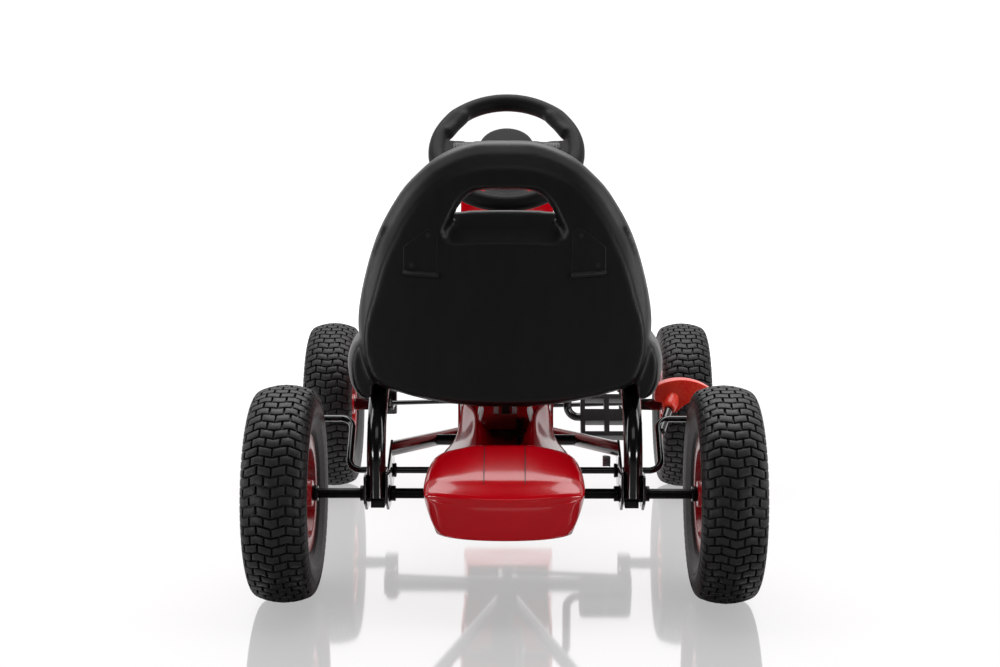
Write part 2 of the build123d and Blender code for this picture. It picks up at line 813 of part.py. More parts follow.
with BuildPart() as hub_pad:
    with BuildSketch(wheel_plane_tilted):
        Circle(hub_pad_radius)
    extrude(amount=hub_pad_thickness)
    crown = hub_pad.faces().sort_by(Axis(tuple(wheel_centre), tuple(column_axis)))[-1]
    fillet(crown.edges(), radius=hub_pad_edge)
save(hub_pad, "steering_hub_pad")

# ================================================================ crank and chain
post_bottom = above_axles(post_rise)


def crank_rod(start_x, end_x, radius, bore=0.0):
    """A bar or sleeve round the crank's axis."""
    return rod_along_x(start_x, end_x, ahead(crank_ahead), crank_height, radius, bore)


with BuildPart() as crank_bracket:
    add(crank_rod(shell_start, shell_end, shell_radius).part)
    with BuildSketch(Plane.XY.offset(post_bottom)):
        with Locations((post_x, ahead(crank_ahead))):
            Rectangle(post_width, post_depth)
    extrude(amount=crank_height - post_bottom)
    add(tube_between(main_tube_start, main_tube_end, main_tube_radius).part, mode=Mode.SUBTRACT)
    add(crank_rod(shell_start, shell_end, shell_inner).part, mode=Mode.SUBTRACT)
save(crank_bracket, "crank_bracket")

with BuildPart() as plain_bushes:
    add(column_bushes.part)
    for start in (shell_start, shell_end - shell_bush_length):
        add(crank_rod(start, start + shell_bush_length, shell_inner, crank_radius + running_clearance).part)
save(plain_bushes, "plain_bushes")

pedal_outer_x = pedal_inner_x + pedal_width
spindle_end_x = pedal_outer_x - crank_end_gap
crank = bent_tube(
    [
        (-spindle_end_x, ahead(crank_ahead), crank_height + crank_length),
        (-crank_arm_x, ahead(crank_ahead), crank_height + crank_length),
        (-crank_arm_x, ahead(crank_ahead), crank_height),
        (crank_arm_x, ahead(crank_ahead), crank_height),
        (crank_arm_x, ahead(crank_ahead), crank_height - crank_length),
        (spindle_end_x, ahead(crank_ahead), crank_height - crank_length),
    ],
    crank_bend,
    crank_radius,
)
save(crank, "crank")
chainring = sprocket(ahead(crank_ahead), crank_height, chainring_teeth, crank_radius, hole_radius=9.0)
save(chainring, "chainring")


def pedal(side):
    """A moulded pedal: a spindle barrel between two slotted treads."""
    spindle_z = crank_height - side * crank_length
    frame = Plane(
        origin=(side * (pedal_inner_x + pedal_width / 2), ahead(crank_ahead), spindle_z),
        x_dir=(1, 0, 0),
        z_dir=(0, -sin(radians(pedal_tilt)), cos(radians(pedal_tilt))),
    )
    bore_radius = crank_radius + running_clearance
    bore = rod_along_x(-pedal_outer_x - 1, pedal_outer_x + 1, ahead(crank_ahead), spindle_z, bore_radius)
    with BuildPart() as made:
        with BuildSketch(frame.offset(-pedal_thickness / 2)):
            RectangleRounded(pedal_width, pedal_depth, pedal_corner)
            with GridLocations(pedal_width / 2 - pedal_rib, pedal_slot_spacing, 2, 2):
                Rectangle(pedal_width / 2 - 10, pedal_slot_height, mode=Mode.SUBTRACT)
        extrude(amount=pedal_thickness)
        add(bore.part, mode=Mode.SUBTRACT)
    return made


save(pedal(-1), "pedal_left")
save(pedal(1), "pedal_right")

axle_centre = Vector(rear_axle_y, wheel_radius)
ring_centre = Vector(ahead(crank_ahead), crank_height)
run = ring_centre - axle_centre
run_angle = degrees(atan2(run.Y, run.X))
wrap = degrees(acos((pitch_radius[axle_sprocket_teeth] - pitch_radius[chainring_teeth]) / run.length))
plate_gap = sprocket_thickness / 2 + link_play


def tangent_point(centre, radius, angle):
    """The place at that angle round a sprocket, as Y and Z."""
    return Vector(centre.X + radius * cos(radians(angle)), centre.Y + radius * sin(radians(angle)))


def chain_side(offset):
    """The loop that lies that far outside the chain's pitch line, as four corners."""
    small = pitch_radius[axle_sprocket_teeth] + offset
    large = pitch_radius[chainring_teeth] + offset
    return [
        (
            tangent_point(axle_centre, small, run_angle + turn),
            tangent_point(ring_centre, large, run_angle + turn),
        )
        for turn in (wrap, -wrap)
    ]


def chain_loop(offset):
    """Draws the closed loop that lies that far outside the pitch line."""
    upper, lower = chain_side(offset)
    large = pitch_radius[chainring_teeth] + offset
    small = pitch_radius[axle_sprocket_teeth] + offset
    front = tangent_point(ring_centre, large, run_angle)
    back = tangent_point(axle_centre, small, run_angle + 180)
    Line(upper[0], upper[1])
    ThreePointArc(upper[1], front, lower[1])
    Line(lower[1], lower[0])
    ThreePointArc(lower[0], back, upper[0])


with BuildPart() as chain:
    for plate_x in (chain_x - plate_gap - link_plate, chain_x + plate_gap):
        face = Plane(origin=(plate_x, 0, 0), x_dir=(0, 1, 0), z_dir=(1, 0, 0))
        with BuildSketch(face):
            with BuildLine():
                chain_loop(link_half_height)
            make_face()
            with BuildLine():
                chain_loop(-link_half_height)
            make_face(mode=Mode.SUBTRACT)
        extrude(amount=link_plate)
    rollers = Plane(origin=(chain_x - plate_gap, 0, 0), x_dir=(0, 1, 0), z_dir=(1, 0, 0))
    free_run = int((chain_side(0)[0][1] - chain_side(0)[0][0]).length / chain_pitch) - 1
    with BuildSketch(rollers):
        for start, end in chain_side(0):
            step = (end - start).normalized() * chain_pitch
            with Locations(*[start + step * (i + 2) for i in range(free_run - 2)]):
                Circle(roller_radius)
    extrude(amount=2 * plate_gap)
save(chain, "chain")

# ================================================================ brake
pad_distance = wheel_radius + brake_pad_gap + brake_rod_radius
pad_ahead = pad_distance * cos(radians(brake_pad_angle))
pad_height = above_axles(pad_distance * sin(radians(brake_pad_angle)))
brake_pad = (ahead(pad_ahead), pad_height)
brake_bar = bent_tube(
    [
        (-brake_pad_x, *brake_pad),
        (-brake_arm_x, *brake_pad),
        (-brake_arm_x, *brake_pivot),
        (brake_arm_x, *brake_pivot),
        (brake_arm_x, *brake_pad),
        (brake_pad_x, *brake_pad),
    ],
    brake_bend,
    brake_rod_radius,
)
save(brake_bar, "brake_bar")

lever_foot = Vector(brake_arm_x + 3, ahead(pad_ahead - lever_foot_drop), pad_height - lever_foot_drop)
lever_head = Vector(brake_arm_x + lever_lean, ahead(pad_ahead + lever_reach), pad_height + lever_rise)
with BuildPart() as brake_lever:
    add(tube_between(tuple(lever_foot), tuple(lever_head), lever_radius).part)
    split(bisect_by=Plane(origin=(brake_arm_x + 1, 0, 0), z_dir=(1, 0, 0)), keep=Keep.TOP)
    add(brake_bar.part, mode=Mode.SUBTRACT)
save(brake_lever, "brake_lever")

grip_face = Plane(
    origin=(lever_head.X, ahead(pad_ahead + grip_reach + grip_depth), lever_head.Z),
    x_dir=(1, 0, 0),
    z_dir=(0, -1, 0),
)
with BuildPart() as brake_grip:
    with BuildSketch(grip_face):
        with BuildLine():
            ThreePointArc((-24, 11), (7, 20), (53, 2))
            Line((53, 2), (39, -12))
            ThreePointArc((39, -12), (24, -8), (11, -13))
            Line((11, -13), (3, -21))
            Line((3, -21), (-6, -16))
            ThreePointArc((-6, -16), (-15, -9), (-24, -7))
            Line((-24, -7), (-24, 11))
        make_face()
    extrude(amount=grip_depth)
    add(tube_between(tuple(lever_foot), tuple(lever_head), lever_radius).part, mode=Mode.SUBTRACT)
save(brake_grip, "brake_grip")

with BuildPart() as brake_bushes:
    for side in (-1, 1):
        inner_face = side * fork_rear_x
        outer_face = side * (cheek_outer_x + cheek_thickness)
        for face_x, into in ((inner_face, side), (outer_face, -side)):
            cap = face_x - into * brake_bush_flange
            back = face_x + into * cheek_thickness
            add(rod_along_x(cap, face_x, *brake_pivot, brake_rod_radius + brake_bush_flange_wall).part)
            add(rod_along_x(face_x, back, *brake_pivot, brake_rod_radius + brake_bush_wall).part)
    add(
        rod_along_x(-brake_arm_x, brake_arm_x, *brake_pivot, brake_rod_radius + running_clearance).part,
        mode=Mode.SUBTRACT,
    )
save(brake_bushes, "brake_bushes")

brake_spring = tube_between(
    (spring_x, brake_pivot[0], brake_pivot[1] + brake_rod_radius + rest_gap),
    (spring_x, brake_pivot[0], fork_rear_height - fork_radius - 1),
    spring_radius,
    spring_wall,
)
save(brake_spring, "brake_spring")

# ================================================================ seat
hoop_top = hoop_height + hoop_radius


def both_sides(right_half):
    """A closed outline from its right half, listed from the middle of the top down to the bottom."""
    return right_half + [(-x, z) for x, z in reversed(right_half) if x]


back_outline = both_sides([
    (0, 537), (32, 536), (57, 529), (78, 518), (97, 503), (115, 483), (132, 458), (145, 432), (158, 397),
    (167, 358), (170, 328), (167, 302), (161, 275), (152, 255), (122, 246), (87, 238), (47, 232),
])
hand_hole = both_sides([
    (0, 484), (24, 484), (42, 479), (56, 465), (66, 447), (70, 433), (65, 421), (45, 419),
])
pan_outline = both_sides([
    (0, 241), (86, 247), (112, 253), (126, 262), (134, hoop_top + 14), (160, hoop_top + 17), (167, 288),
    (168, 306), (175, 308), (183, 292), (187, 277), (184, 257), (175, 243), (164, 240),
    (160, hoop_top + rest_gap),
    (134, hoop_top + rest_gap), (132, 252), (122, 246), (87, 238), (47, 232),
])
bolt_places = [(side * hoop_x, ahead(distance)) for side in (-1, 1) for distance in seat_bolt_distances]
with BuildPart() as seat_shell:
    facing = Plane(origin=(0, ahead(seat_rear), 0), x_dir=(1, 0, 0), z_dir=(0, -1, 0))
    with BuildSketch(facing.offset(-seat_rim_depth)):
        with BuildLine():
            Polyline(*back_outline, close=True)
        make_face()
    extrude(amount=seat_rim_depth)
    with BuildSketch(facing.offset(-seat_rim_depth)):
        with BuildLine():
            Polyline(*back_outline, close=True)
        make_face()
        offset(amount=-seat_hem)
    extrude(amount=seat_rim_depth - seat_back_wall, mode=Mode.SUBTRACT)
    with BuildSketch(facing.offset(-seat_front + seat_rear)):
        with BuildLine():
            Polyline(*pan_outline, close=True)
        make_face()
    extrude(amount=seat_front - seat_rear - seat_back_wall)
    with BuildSketch(facing.offset(-seat_rim_depth)):
        with BuildLine():
            Polyline(*hand_hole, close=True)
        make_face()
    extrude(amount=seat_rim_depth, mode=Mode.SUBTRACT)
    with BuildSketch(Plane.XY.offset(hoop_top - 2 * hoop_radius)):
        with Locations(*bolt_places):
            Circle(seat_bolt_radius + bolt_clearance)
    extrude(amount=2 * hoop_radius + seat_bolt_grip + 2, mode=Mode.SUBTRACT)
save(seat_shell, "seat_shell")

head_top = hoop_top - 2 * hoop_radius - running_clearance
with BuildPart() as seat_bolts:
    with BuildSketch(Plane.XY.offset(head_top - bolt_head_height)):
        with Locations(*bolt_places):
            RegularPolygon(bolt_head_radius, 6)
    extrude(amount=bolt_head_height)
    with BuildSketch(Plane.XY.offset(head_top)):
        with Locations(*bolt_places):
            Circle(seat_bolt_radius)
    extrude(amount=2 * hoop_radius + seat_bolt_grip)
save(seat_bolts, "seat_bolts")

# ================================================================ covers
fork_clear = fork_radius + rest_gap


def cut_fork_tubes():
    """Clears the way of both fork tubes through the cover being made."""
    for fork_side in (-1, 1):
        outer, inner = fork_ends(fork_side)
        add(tube_between(tuple(outer), tuple(inner), fork_clear).part, mode=Mode.SUBTRACT)


def side_view(points):
    """A side-view outline, from distances ahead of the rear axle and heights."""
    with BuildSketch(Plane.YZ) as outline:
        with BuildLine():
            Polyline(*[(ahead(a), z) for a, z in points], close=True)
        make_face()
    return outline.sketch


def rear_view(right_half):
    """A rear-view outline from the points of its right half."""
    with BuildSketch(Plane.XZ) as outline:
        with BuildLine():
            Polyline(*both_sides(right_half), close=True)
        make_face()
    return outline.sketch


def top_view(right_half):
    """A top-view outline from half widths and distances ahead of the rear axle."""
    with BuildSketch(Plane.XY) as outline:
        with BuildLine():
            Polyline(*[(x, ahead(a)) for x, a in both_sides(right_half)], close=True)
        make_face()
    return outline.sketch


def thin_cover(views, trim):
    """A thin moulding: the shape that its three views share, hollowed and cut open below the trim line."""
    with BuildPart() as inside:
        for position, view in enumerate(views):
            narrowed = offset(view, amount=-cover_wall, mode=Mode.PRIVATE)
            extrude(narrowed, amount=overall_length, both=True, mode=Mode.INTERSECT if position else Mode.ADD)
    with BuildPart() as made:
        for position, view in enumerate(views):
            extrude(view, amount=overall_length, both=True, mode=Mode.INTERSECT if position else Mode.ADD)
        add(inside.part, mode=Mode.SUBTRACT)
        extrude(side_view(trim), amount=overall_length, both=True, mode=Mode.SUBTRACT)
    return made


neck_roof = tunnel_roof_rear - cover_wall - rest_gap
neck_front = tunnel_rear + tail_neck_length
tail_views = [
    side_view([
        (-110, 144), (-93, 90), (180, 90), (180, neck_roof), (150, neck_roof), (104, 214), (20, 200),
        (-44, 192), (-86, 165),
    ]),
    rear_view([(0, 240), (42, 240), (42, 200), (78, 186), (91, 146), (79, 100), (70, 90), (0, 90)]),
    top_view([
        (0, -115), (83, -115), (92, -70), (91, 20), (66, 72), (46, 102), (42, 150), (42, 180), (0, 180),
    ]),
]
tail_trim = [
    (-130, tail_bottom), (34, tail_bottom), (78, 118), (96, 152), (neck_front, 152), (neck_front, 260),
    (200, 260), (200, 60), (-130, 60),
]
with BuildPart() as tail_cover:
    add(thin_cover(tail_views, tail_trim).part)
    add(rod_along_x(-120, 120, rear_axle_y, wheel_radius, axle_radius + 2).part, mode=Mode.SUBTRACT)
    add(rod_along_x(-120, 120, *brake_pivot, brake_rod_radius + 2).part, mode=Mode.SUBTRACT)
save(tail_cover, "tail_cover")

cowl_half_width = tunnel_half_width + cowl_overhang
tunnel_front = cowl_rear - rest_gap
tunnel_views = [
    side_view([(tunnel_rear - 10, 140), (tunnel_front + 10, 140), (tunnel_front + 10, 280), (330, 240),
               (seat_front, 229), (tunnel_rear - 10, tunnel_roof_rear - 0.5)]),
    rear_view([(0, 400), (tunnel_half_width, 400), (tunnel_half_width, 100), (0, 100)]),
]
tunnel_trim = [
    (tunnel_rear, tunnel_bottom), (tunnel_front, tunnel_bottom), (tunnel_front, 400),
    (tunnel_front + 40, 400), (tunnel_front + 40, 100), (tunnel_rear - 40, 100), (tunnel_rear - 40, 400),
    (tunnel_rear, 400),
]
with BuildPart() as tunnel_cover:
    add(thin_cover(tunnel_views, tunnel_trim).part)
    cut_fork_tubes()
    add(cross_rod(cross_tube_radius + rest_gap).part, mode=Mode.SUBTRACT)
save(tunnel_cover, "tunnel_cover")

cowl_views = [
    side_view([(cowl_rear - 10, 140), (cowl_front + 10, 140), (cowl_front + 10, 244), (475, 478), (436, 482),
               (cowl_rear + 4, 340), (cowl_rear - 10, 250)]),
    rear_view([(0, 500), (cowl_half_width, 500), (cowl_half_width, 100), (0, 100)]),
]
cowl_lip = beam_height + beam_radius + cowl_beam_gap
cowl_trim = [
    (cowl_rear, 290), (cowl_rear, tunnel_bottom), (wheelbase - 90, tunnel_bottom), (wheelbase - 32, cowl_lip),
    (cowl_front, cowl_lip), (cowl_front, 400), (cowl_front + 40, 400), (cowl_front + 40, 100),
    (cowl_rear - 40, 100), (cowl_rear - 40, 290),
]
with BuildPart() as steering_cowl:
    add(thin_cover(cowl_views, cowl_trim).part)
    cut_fork_tubes()
    add(
        tube_between(tuple(column_foot), tuple(wheel_centre), column_tube_radius + rest_gap).part,
        mode=Mode.SUBTRACT,
    )
    add(crank_rod(-crank_arm_x, crank_arm_x, crank_radius + crank_bend).part, mode=Mode.SUBTRACT)
save(steering_cowl, "steering_cowl")

nose_half_width = cowl_half_width + nose_flare
nose_tip = overall_length - wheel_radius
nose_views = [
    side_view([
        (cowl_front - 10, nose_floor), (nose_tip - 34, nose_floor), (nose_tip, nose_floor + 25),
        (nose_tip, nose_floor + 47), (nose_tip - 30, nose_floor + 62), (cowl_front - 10, 256),
    ]),
    top_view([
        (0, nose_tip), (54, nose_tip), (nose_half_width, nose_tip - 26), (nose_half_width, nose_tip - 80),
        (cowl_half_width, cowl_front), (cowl_half_width, cowl_front - 20), (0, cowl_front - 20),
    ]),
]
nose_rear = cowl_front + rest_gap
nose_trim = [(nose_rear, 300), (nose_rear, 100), (nose_rear - 60, 100), (nose_rear - 60, 300)]
screw_places = [(0, ahead(distance)) for distance in nose_screw_distances]
with BuildPart() as nose_cone:
    add(thin_cover(nose_views, nose_trim).part)
    for radius, depth in (
        (screw_radius + bolt_clearance, cover_wall),
        (screw_head_radius + bolt_clearance, screw_head_height + running_clearance),
    ):
        with BuildSketch(Plane.XY.offset(nose_floor)):
            with Locations(*screw_places):
                Circle(radius)
        extrude(amount=depth, mode=Mode.SUBTRACT)
save(nose_cone, "nose_cone")

with BuildPart() as cover_screws:
    for radius, length in ((screw_head_radius, screw_head_height), (screw_radius, screw_length)):
        with BuildSketch(Plane.XY.offset(nose_floor)):
            with Locations(*screw_places):
                Circle(radius)
        extrude(amount=length)
save(cover_screws, "cover_screws")
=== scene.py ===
import json
import random
from math import cos, hypot, pi, radians, sin

import bmesh
import bpy
from mathutils import Matrix, Vector

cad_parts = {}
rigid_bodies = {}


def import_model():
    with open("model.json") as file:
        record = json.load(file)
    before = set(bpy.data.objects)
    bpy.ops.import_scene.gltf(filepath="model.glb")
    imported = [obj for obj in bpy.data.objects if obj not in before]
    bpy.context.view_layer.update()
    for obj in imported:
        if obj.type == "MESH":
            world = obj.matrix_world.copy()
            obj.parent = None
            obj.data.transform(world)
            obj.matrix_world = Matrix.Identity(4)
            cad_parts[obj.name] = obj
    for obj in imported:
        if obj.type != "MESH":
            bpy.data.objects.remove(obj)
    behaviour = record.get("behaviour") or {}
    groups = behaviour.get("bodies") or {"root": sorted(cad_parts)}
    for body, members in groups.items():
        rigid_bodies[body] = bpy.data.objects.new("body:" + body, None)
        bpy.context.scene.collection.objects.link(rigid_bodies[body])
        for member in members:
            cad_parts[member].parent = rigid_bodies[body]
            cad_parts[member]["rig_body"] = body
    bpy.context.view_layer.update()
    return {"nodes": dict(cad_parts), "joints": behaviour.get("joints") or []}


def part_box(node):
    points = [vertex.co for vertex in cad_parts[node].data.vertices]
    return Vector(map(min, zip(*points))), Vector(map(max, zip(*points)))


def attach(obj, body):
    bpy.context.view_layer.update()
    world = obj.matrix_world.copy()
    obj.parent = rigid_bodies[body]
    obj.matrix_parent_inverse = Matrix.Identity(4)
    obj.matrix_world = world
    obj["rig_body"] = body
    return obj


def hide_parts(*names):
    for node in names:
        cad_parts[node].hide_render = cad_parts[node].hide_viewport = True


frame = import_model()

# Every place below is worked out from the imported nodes. Lengths along the kart are given ahead of the
# rear axle, as the maker measures them.
axle_low, axle_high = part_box("rear_axle")
rear_axle = (axle_low + axle_high) / 2


def at(x, ahead, z):
    """A place from millimetres: right of the middle, ahead of the rear axle, and above the ground."""
    return Vector((x / 1000, rear_axle.y + ahead / 1000, z / 1000))


# ---------------------------------------------------------------- frame tubes
# The frame is drawn steel tube, bent and welded, then powder coated gloss black and baked. The coat keeps
# a faint orange-peel ripple, and its colour is mixed a little paler along its sharp edges.
def linear(code):
    """An sRGB hex colour as the linear colour that a socket takes."""
    parts = [int(code[i:i + 2], 16) / 255 for i in (1, 3, 5)]
    return (*[c / 12.92 if c <= 0.04045 else ((c + 0.055) / 1.055) ** 2.4 for c in parts], 1.0)


def add_node(tree, kind, inputs=None, **settings):
    """Adds a node with its settings, and fills or links its inputs."""
    node = tree.nodes.new("ShaderNode" + kind)
    for name, value in settings.items():
        setattr(node, name, value)
    for name, value in (inputs or {}).items():
        if isinstance(value, bpy.types.NodeSocket):
            tree.links.new(value, node.inputs[name])
        else:
            node.inputs[name].default_value = value
    return node


def per_mm(size):
    """The texture scale at which one cell is that many millimetres."""
    return 1000 / size


def finish_of(name, dark, light, rough, grain, depth, patch=40, stretch=(1, 1, 1), **surface):
    """A finish whose colour drifts between two hexes in patches, with a fine grain in its gloss and relief.

    rough is the lowest and highest roughness, grain the size of its grain and patch that of its drift, in mm.
    """
    material = bpy.data.materials.new(name)
    material.use_nodes = True
    tree = material.node_tree
    tree.nodes.clear()
    place = add_node(tree, "TexCoord").outputs["Object"]
    along = add_node(tree, "Mapping", {"Vector": place, "Scale": stretch}).outputs["Vector"]
    drift = add_node(tree, "TexNoise", {"Vector": along, "Scale": per_mm(patch), "Detail": 4.0})
    fine = add_node(tree, "TexNoise", {"Vector": along, "Scale": per_mm(grain), "Detail": 3.0})
    # Every finish is mixed up to about a third of the way to its lighter hex along sharp convex edges.
    edges = add_node(tree, "NewGeometry").outputs["Pointiness"]
    edge_paling = add_node(
        tree, "MapRange",
        {"Value": edges, "From Min": 0.52, "From Max": 0.62, "To Min": 0.0, "To Max": 0.35},
    ).outputs["Result"]
    shade = add_node(
        tree, "MapRange", {"Value": drift.outputs["Fac"], "From Min": 0.3, "From Max": 0.7},
    ).outputs["Result"]
    mixed = add_node(tree, "Math", {0: shade, 1: edge_paling}, operation="ADD", use_clamp=True).outputs["Value"]
    colour = add_node(
        tree, "Mix", {"Factor": mixed, "A": linear(dark), "B": linear(light)}, data_type="RGBA",
    )
    gloss = add_node(
        tree, "MapRange",
        {
            "Value": fine.outputs["Fac"], "From Min": 0.3, "From Max": 0.7,
            "To Min": rough[0], "To Max": rough[1],
        },
    ).outputs["Result"]
    relief = add_node(
        tree, "Bump", {"Height": fine.outputs["Fac"], "Strength": 1.0, "Distance": depth / 1000},
    ).outputs["Normal"]
    shader = add_node(
        tree, "BsdfPrincipled",
        {"Base Color": colour.outputs["Result"], "Roughness": gloss, "Normal": relief, **surface},
    )
    add_node(tree, "OutputMaterial", {"Surface": shader.outputs["BSDF"]})
    return material


def dress(node, material):
    """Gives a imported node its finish."""
    mesh = frame["nodes"][node].data
    mesh.materials.clear()
    mesh.materials.append(material)


# Powder-coated steel: the coat is thick and glossy, so lights show as clean streaks along each tube.
powder_coat = finish_of(
    "powder_coated_steel", "#060607", "#0E0E10", (0.1, 0.2), 2.5, 0.006,
    **{"Coat Weight": 0.6, "Coat Roughness": 0.06},
)
for node in ("main_tube", "cover_cross_tube", "front_beam", "column_tube", "crank_bracket", "brake_bar"):
    dress(node, powder_coat)
for side in ("left", "right"):
    dress(f"fork_tube_{side}", powder_coat)
    dress(f"seat_hoop_{side}", powder_coat)
dress("brake_lever", powder_coat)
dress("crank", powder_coat)


# ---------------------------------------------------------------- axle brackets
# Laser-cut 3 mm steel cheeks, welded to the hoops and fork tubes and coated with them. Their cut edges are
# broken by the coat, so a thin light runs round each one.
def shown_as(piece, material, body, *nodes):
    """Puts a finished piece in the scene on its body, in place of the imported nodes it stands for."""
    if material:
        piece.data.materials.clear()
        piece.data.materials.append(material)
    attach(piece, body)
    if nodes:
        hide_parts(*nodes)
    return piece


def new_piece(name, points, faces, sharp=30):
    """A mesh piece from its points and faces, smooth except where faces meet above that angle."""
    mesh = bpy.data.meshes.new(name)
    mesh.from_pydata([tuple(p) for p in points], [], faces)
    mesh.validate()
    tidy = bmesh.new()
    tidy.from_mesh(mesh)
    bmesh.ops.recalc_face_normals(tidy, faces=tidy.faces)
    tidy.to_mesh(mesh)
    tidy.free()
    mesh.shade_smooth()
    mesh.set_sharp_from_angle(angle=radians(sharp))
    piece = bpy.data.objects.new(name, mesh)
    bpy.context.scene.collection.objects.link(piece)
    return piece


def eased(node, material, radius, segments=2, sharp=28):
    """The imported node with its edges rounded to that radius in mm, as moulding or coating leaves them."""
    source = frame["nodes"][node]
    mesh = source.data.copy()
    work = bmesh.new()
    work.from_mesh(mesh)
    bmesh.ops.remove_doubles(work, verts=work.verts, dist=1e-6)
    bmesh.ops.dissolve_limit(work, angle_limit=radians(1.5), verts=work.verts, edges=work.edges)
    edges = [e for e in work.edges if e.is_manifold and e.calc_face_angle(0) > radians(sharp)]
    bmesh.ops.bevel(
        work, geom=edges, offset=radius / 1000, segments=segments, profile=0.5, affect="EDGES",
        clamp_overlap=True,
    )
    bmesh.ops.triangulate(work, faces=[f for f in work.faces if len(f.verts) > 4])
    work.to_mesh(mesh)
    work.free()
    mesh.name = f"{node}_eased"
    mesh.shade_smooth()
    mesh.set_sharp_from_angle(angle=radians(40))
    piece = bpy.data.objects.new(f"{node}_piece", mesh)
    bpy.context.scene.collection.objects.link(piece)
    return shown_as(piece, material, source["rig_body"], node)


for side in ("left", "right"):
    eased(f"axle_bracket_{side}", powder_coat, 0.6)
    eased(f"knuckle_{side}", powder_coat, 0.8)
eased("pitman_arm", powder_coat, 0.5)

# ---------------------------------------------------------------- bearings and bushes
# Bearing blocks and pivot bushes are injection-moulded black nylon, pressed between the cheeks. Nylon has a
# dry satin skin with a very fine spark texture.
moulded_nylon = finish_of("moulded_nylon", "#0B0B0C", "#161617", (0.38, 0.52), 0.9, 0.02)
eased("rear_bearings", moulded_nylon, 1.0)
eased("brake_bushes", moulded_nylon, 0.8)
dress("plain_bushes", moulded_nylon)

# ---------------------------------------------------------------- axle and small steel
# The rear axle and its collars are cold-drawn steel bar with a black oxide finish, which stays dark and
# only half glossy, with fine turning marks round the bar.
black_oxide = finish_of(
    "black_oxide_steel", "#0D0D0E", "#1B1B1C", (0.22, 0.36), 1.2, 0.01, stretch=(6, 1, 1),
    **{"Metallic": 0.75},
)
dress("rear_axle", black_oxide)
eased("axle_collars", black_oxide, 0.5)
dress("steering_column", black_oxide)

# Zinc-plated steel: bolts, nuts, tie rods and sprockets. Bright, slightly blue, with cloudy passivation.
zinc_plate = finish_of(
    "zinc_plated_steel", "#8F9297", "#C9CBCF", (0.2, 0.4), 3.0, 0.008, patch=9, **{"Metallic": 0.7},
)
for node in ("axle_sprocket", "chainring", "seat_bolts", "cover_screws", "rear_push_nuts"):
    eased(node, zinc_plate, 0.3)
for side in ("left", "right"):
    eased(f"knuckle_nuts_{side}", zinc_plate, 0.4)
    dress(f"tie_rod_{side}", powder_coat)

# Oiled chain steel: stamped link plates, darkened by oil that gathers dust between the rollers.
oiled_steel = finish_of(
    "oiled_chain_steel", "#191512", "#4A4540", (0.3, 0.55), 1.5, 0.03, patch=5, **{"Metallic": 0.9},
)
dress("chain", oiled_steel)

# ---------------------------------------------------------------- wheels
# Turf tyres are compression-moulded rubber on a one-piece red rim. The tread is rows of small blocks whose
# edges zigzag across the tyre, and each row is shifted by half a block from the next.
tread_rows = 70
block_width = 16.5
groove = 2.3
zigzag = 2.1
tread_depth = 4.2
wheel_radius = (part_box("rear_tyre_left")[1].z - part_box("rear_tyre_left")[0].z) * 500 - 0.15
outer_skin = [
    (37.0, 105.0), (36.4, 110.5), (35.0, 115.0), (32.6, 118.5), (29.0, 121.0), (20.0, 124.2), (10.0, 126.3),
]
outer_skin = outer_skin + [(0.0, 127.0)] + [(-x, r) for x, r in reversed(outer_skin)]
outer_skin = [(x, r * wheel_radius / 127) for x, r in outer_skin]


def along_skin(distance):
    """A place on the tread's outer skin and its outward direction, at a distance from the tread's middle."""
    middle = len(outer_skin) // 2
    lengths = [0.0]
    for a, b in zip(outer_skin, outer_skin[1:]):
        lengths.append(lengths[-1] + hypot(b[0] - a[0], b[1] - a[1]))
    target = min(max(lengths[middle] - distance, 0.0), lengths[-1] - 1e-6)
    step = max(i for i, length in enumerate(lengths[:-1]) if length <= target)
    share = (target - lengths[step]) / (lengths[step + 1] - lengths[step])
    (x0, r0), (x1, r1) = outer_skin[step], outer_skin[step + 1]
    run = hypot(x1 - x0, r1 - r0)
    normal = (-(r1 - r0) / run, (x1 - x0) / run)
    normal = normal if normal[1] > 0 else (-normal[0], -normal[1])
    return (x0 + (x1 - x0) * share, r0 + (r1 - r0) * share), normal


def round_axle(x, r, angle):
    """A point of a wheel from its place across, its radius and its angle, in metres about the hub."""
    return (x / 1000, r * cos(angle) / 1000, r * sin(angle) / 1000)


def turned(profile, segments):
    """A turned piece about the x axis from its profile of places along and radii, in mm."""
    points = [round_axle(x, r, 2 * pi * k / segments) for k in range(segments) for x, r in profile]
    count = len(profile)
    faces = []
    for k in range(segments):
        for i in range(count):
            j = (i + 1) % count
            n = (k + 1) % segments
            faces.append((k * count + i, k * count + j, n * count + j, n * count + i))
    return points, faces


def tread_block(start, end, row):
    """One tread block: a raised pad that follows the crown, with broken top edges and sloping sides."""
    pitch = 2 * pi * wheel_radius / tread_rows
    count = max(2, round((end - start) / 4)) + 1
    ends = abs(start + end) / 2 > 34
    levels = ((tread_depth + 0.6, -0.35), (0.9, 0.0), (0.25, 0.18), (0.0, 0.75))
    points = []
    for depth, inset in levels:
        left, right = start + groove / 2 + inset, end - groove / 2 - inset
        for edge in (0, 1):
            for i in range(count):
                s = left + (right - left) * i / (count - 1)
                place, normal = along_skin(s)
                wave = zigzag * (abs((s / block_width) % 2 - 1) * 2 - 1)
                inward = groove / 2 + inset
                turn = row * pitch + wave + (inward if edge == 0 else pitch - inward)
                drop = depth * (0.45 if ends else 1.0)
                points.append(
                    round_axle(place[0] - normal[0] * drop, place[1] - normal[1] * drop, turn / wheel_radius)
                )
    ring = list(range(count)) + list(range(2 * count - 1, count - 1, -1))
    faces = []
    for level in range(len(levels) - 1):
        low, high = level * 2 * count, (level + 1) * 2 * count
        for a, b in zip(ring, ring[1:] + ring[:1]):
            faces.append((low + a, low + b, high + b, high + a))
    top = (len(levels) - 1) * 2 * count
    faces += [(top + i, top + i + 1, top + count + i + 1, top + count + i) for i in range(count - 1)]
    return points, faces


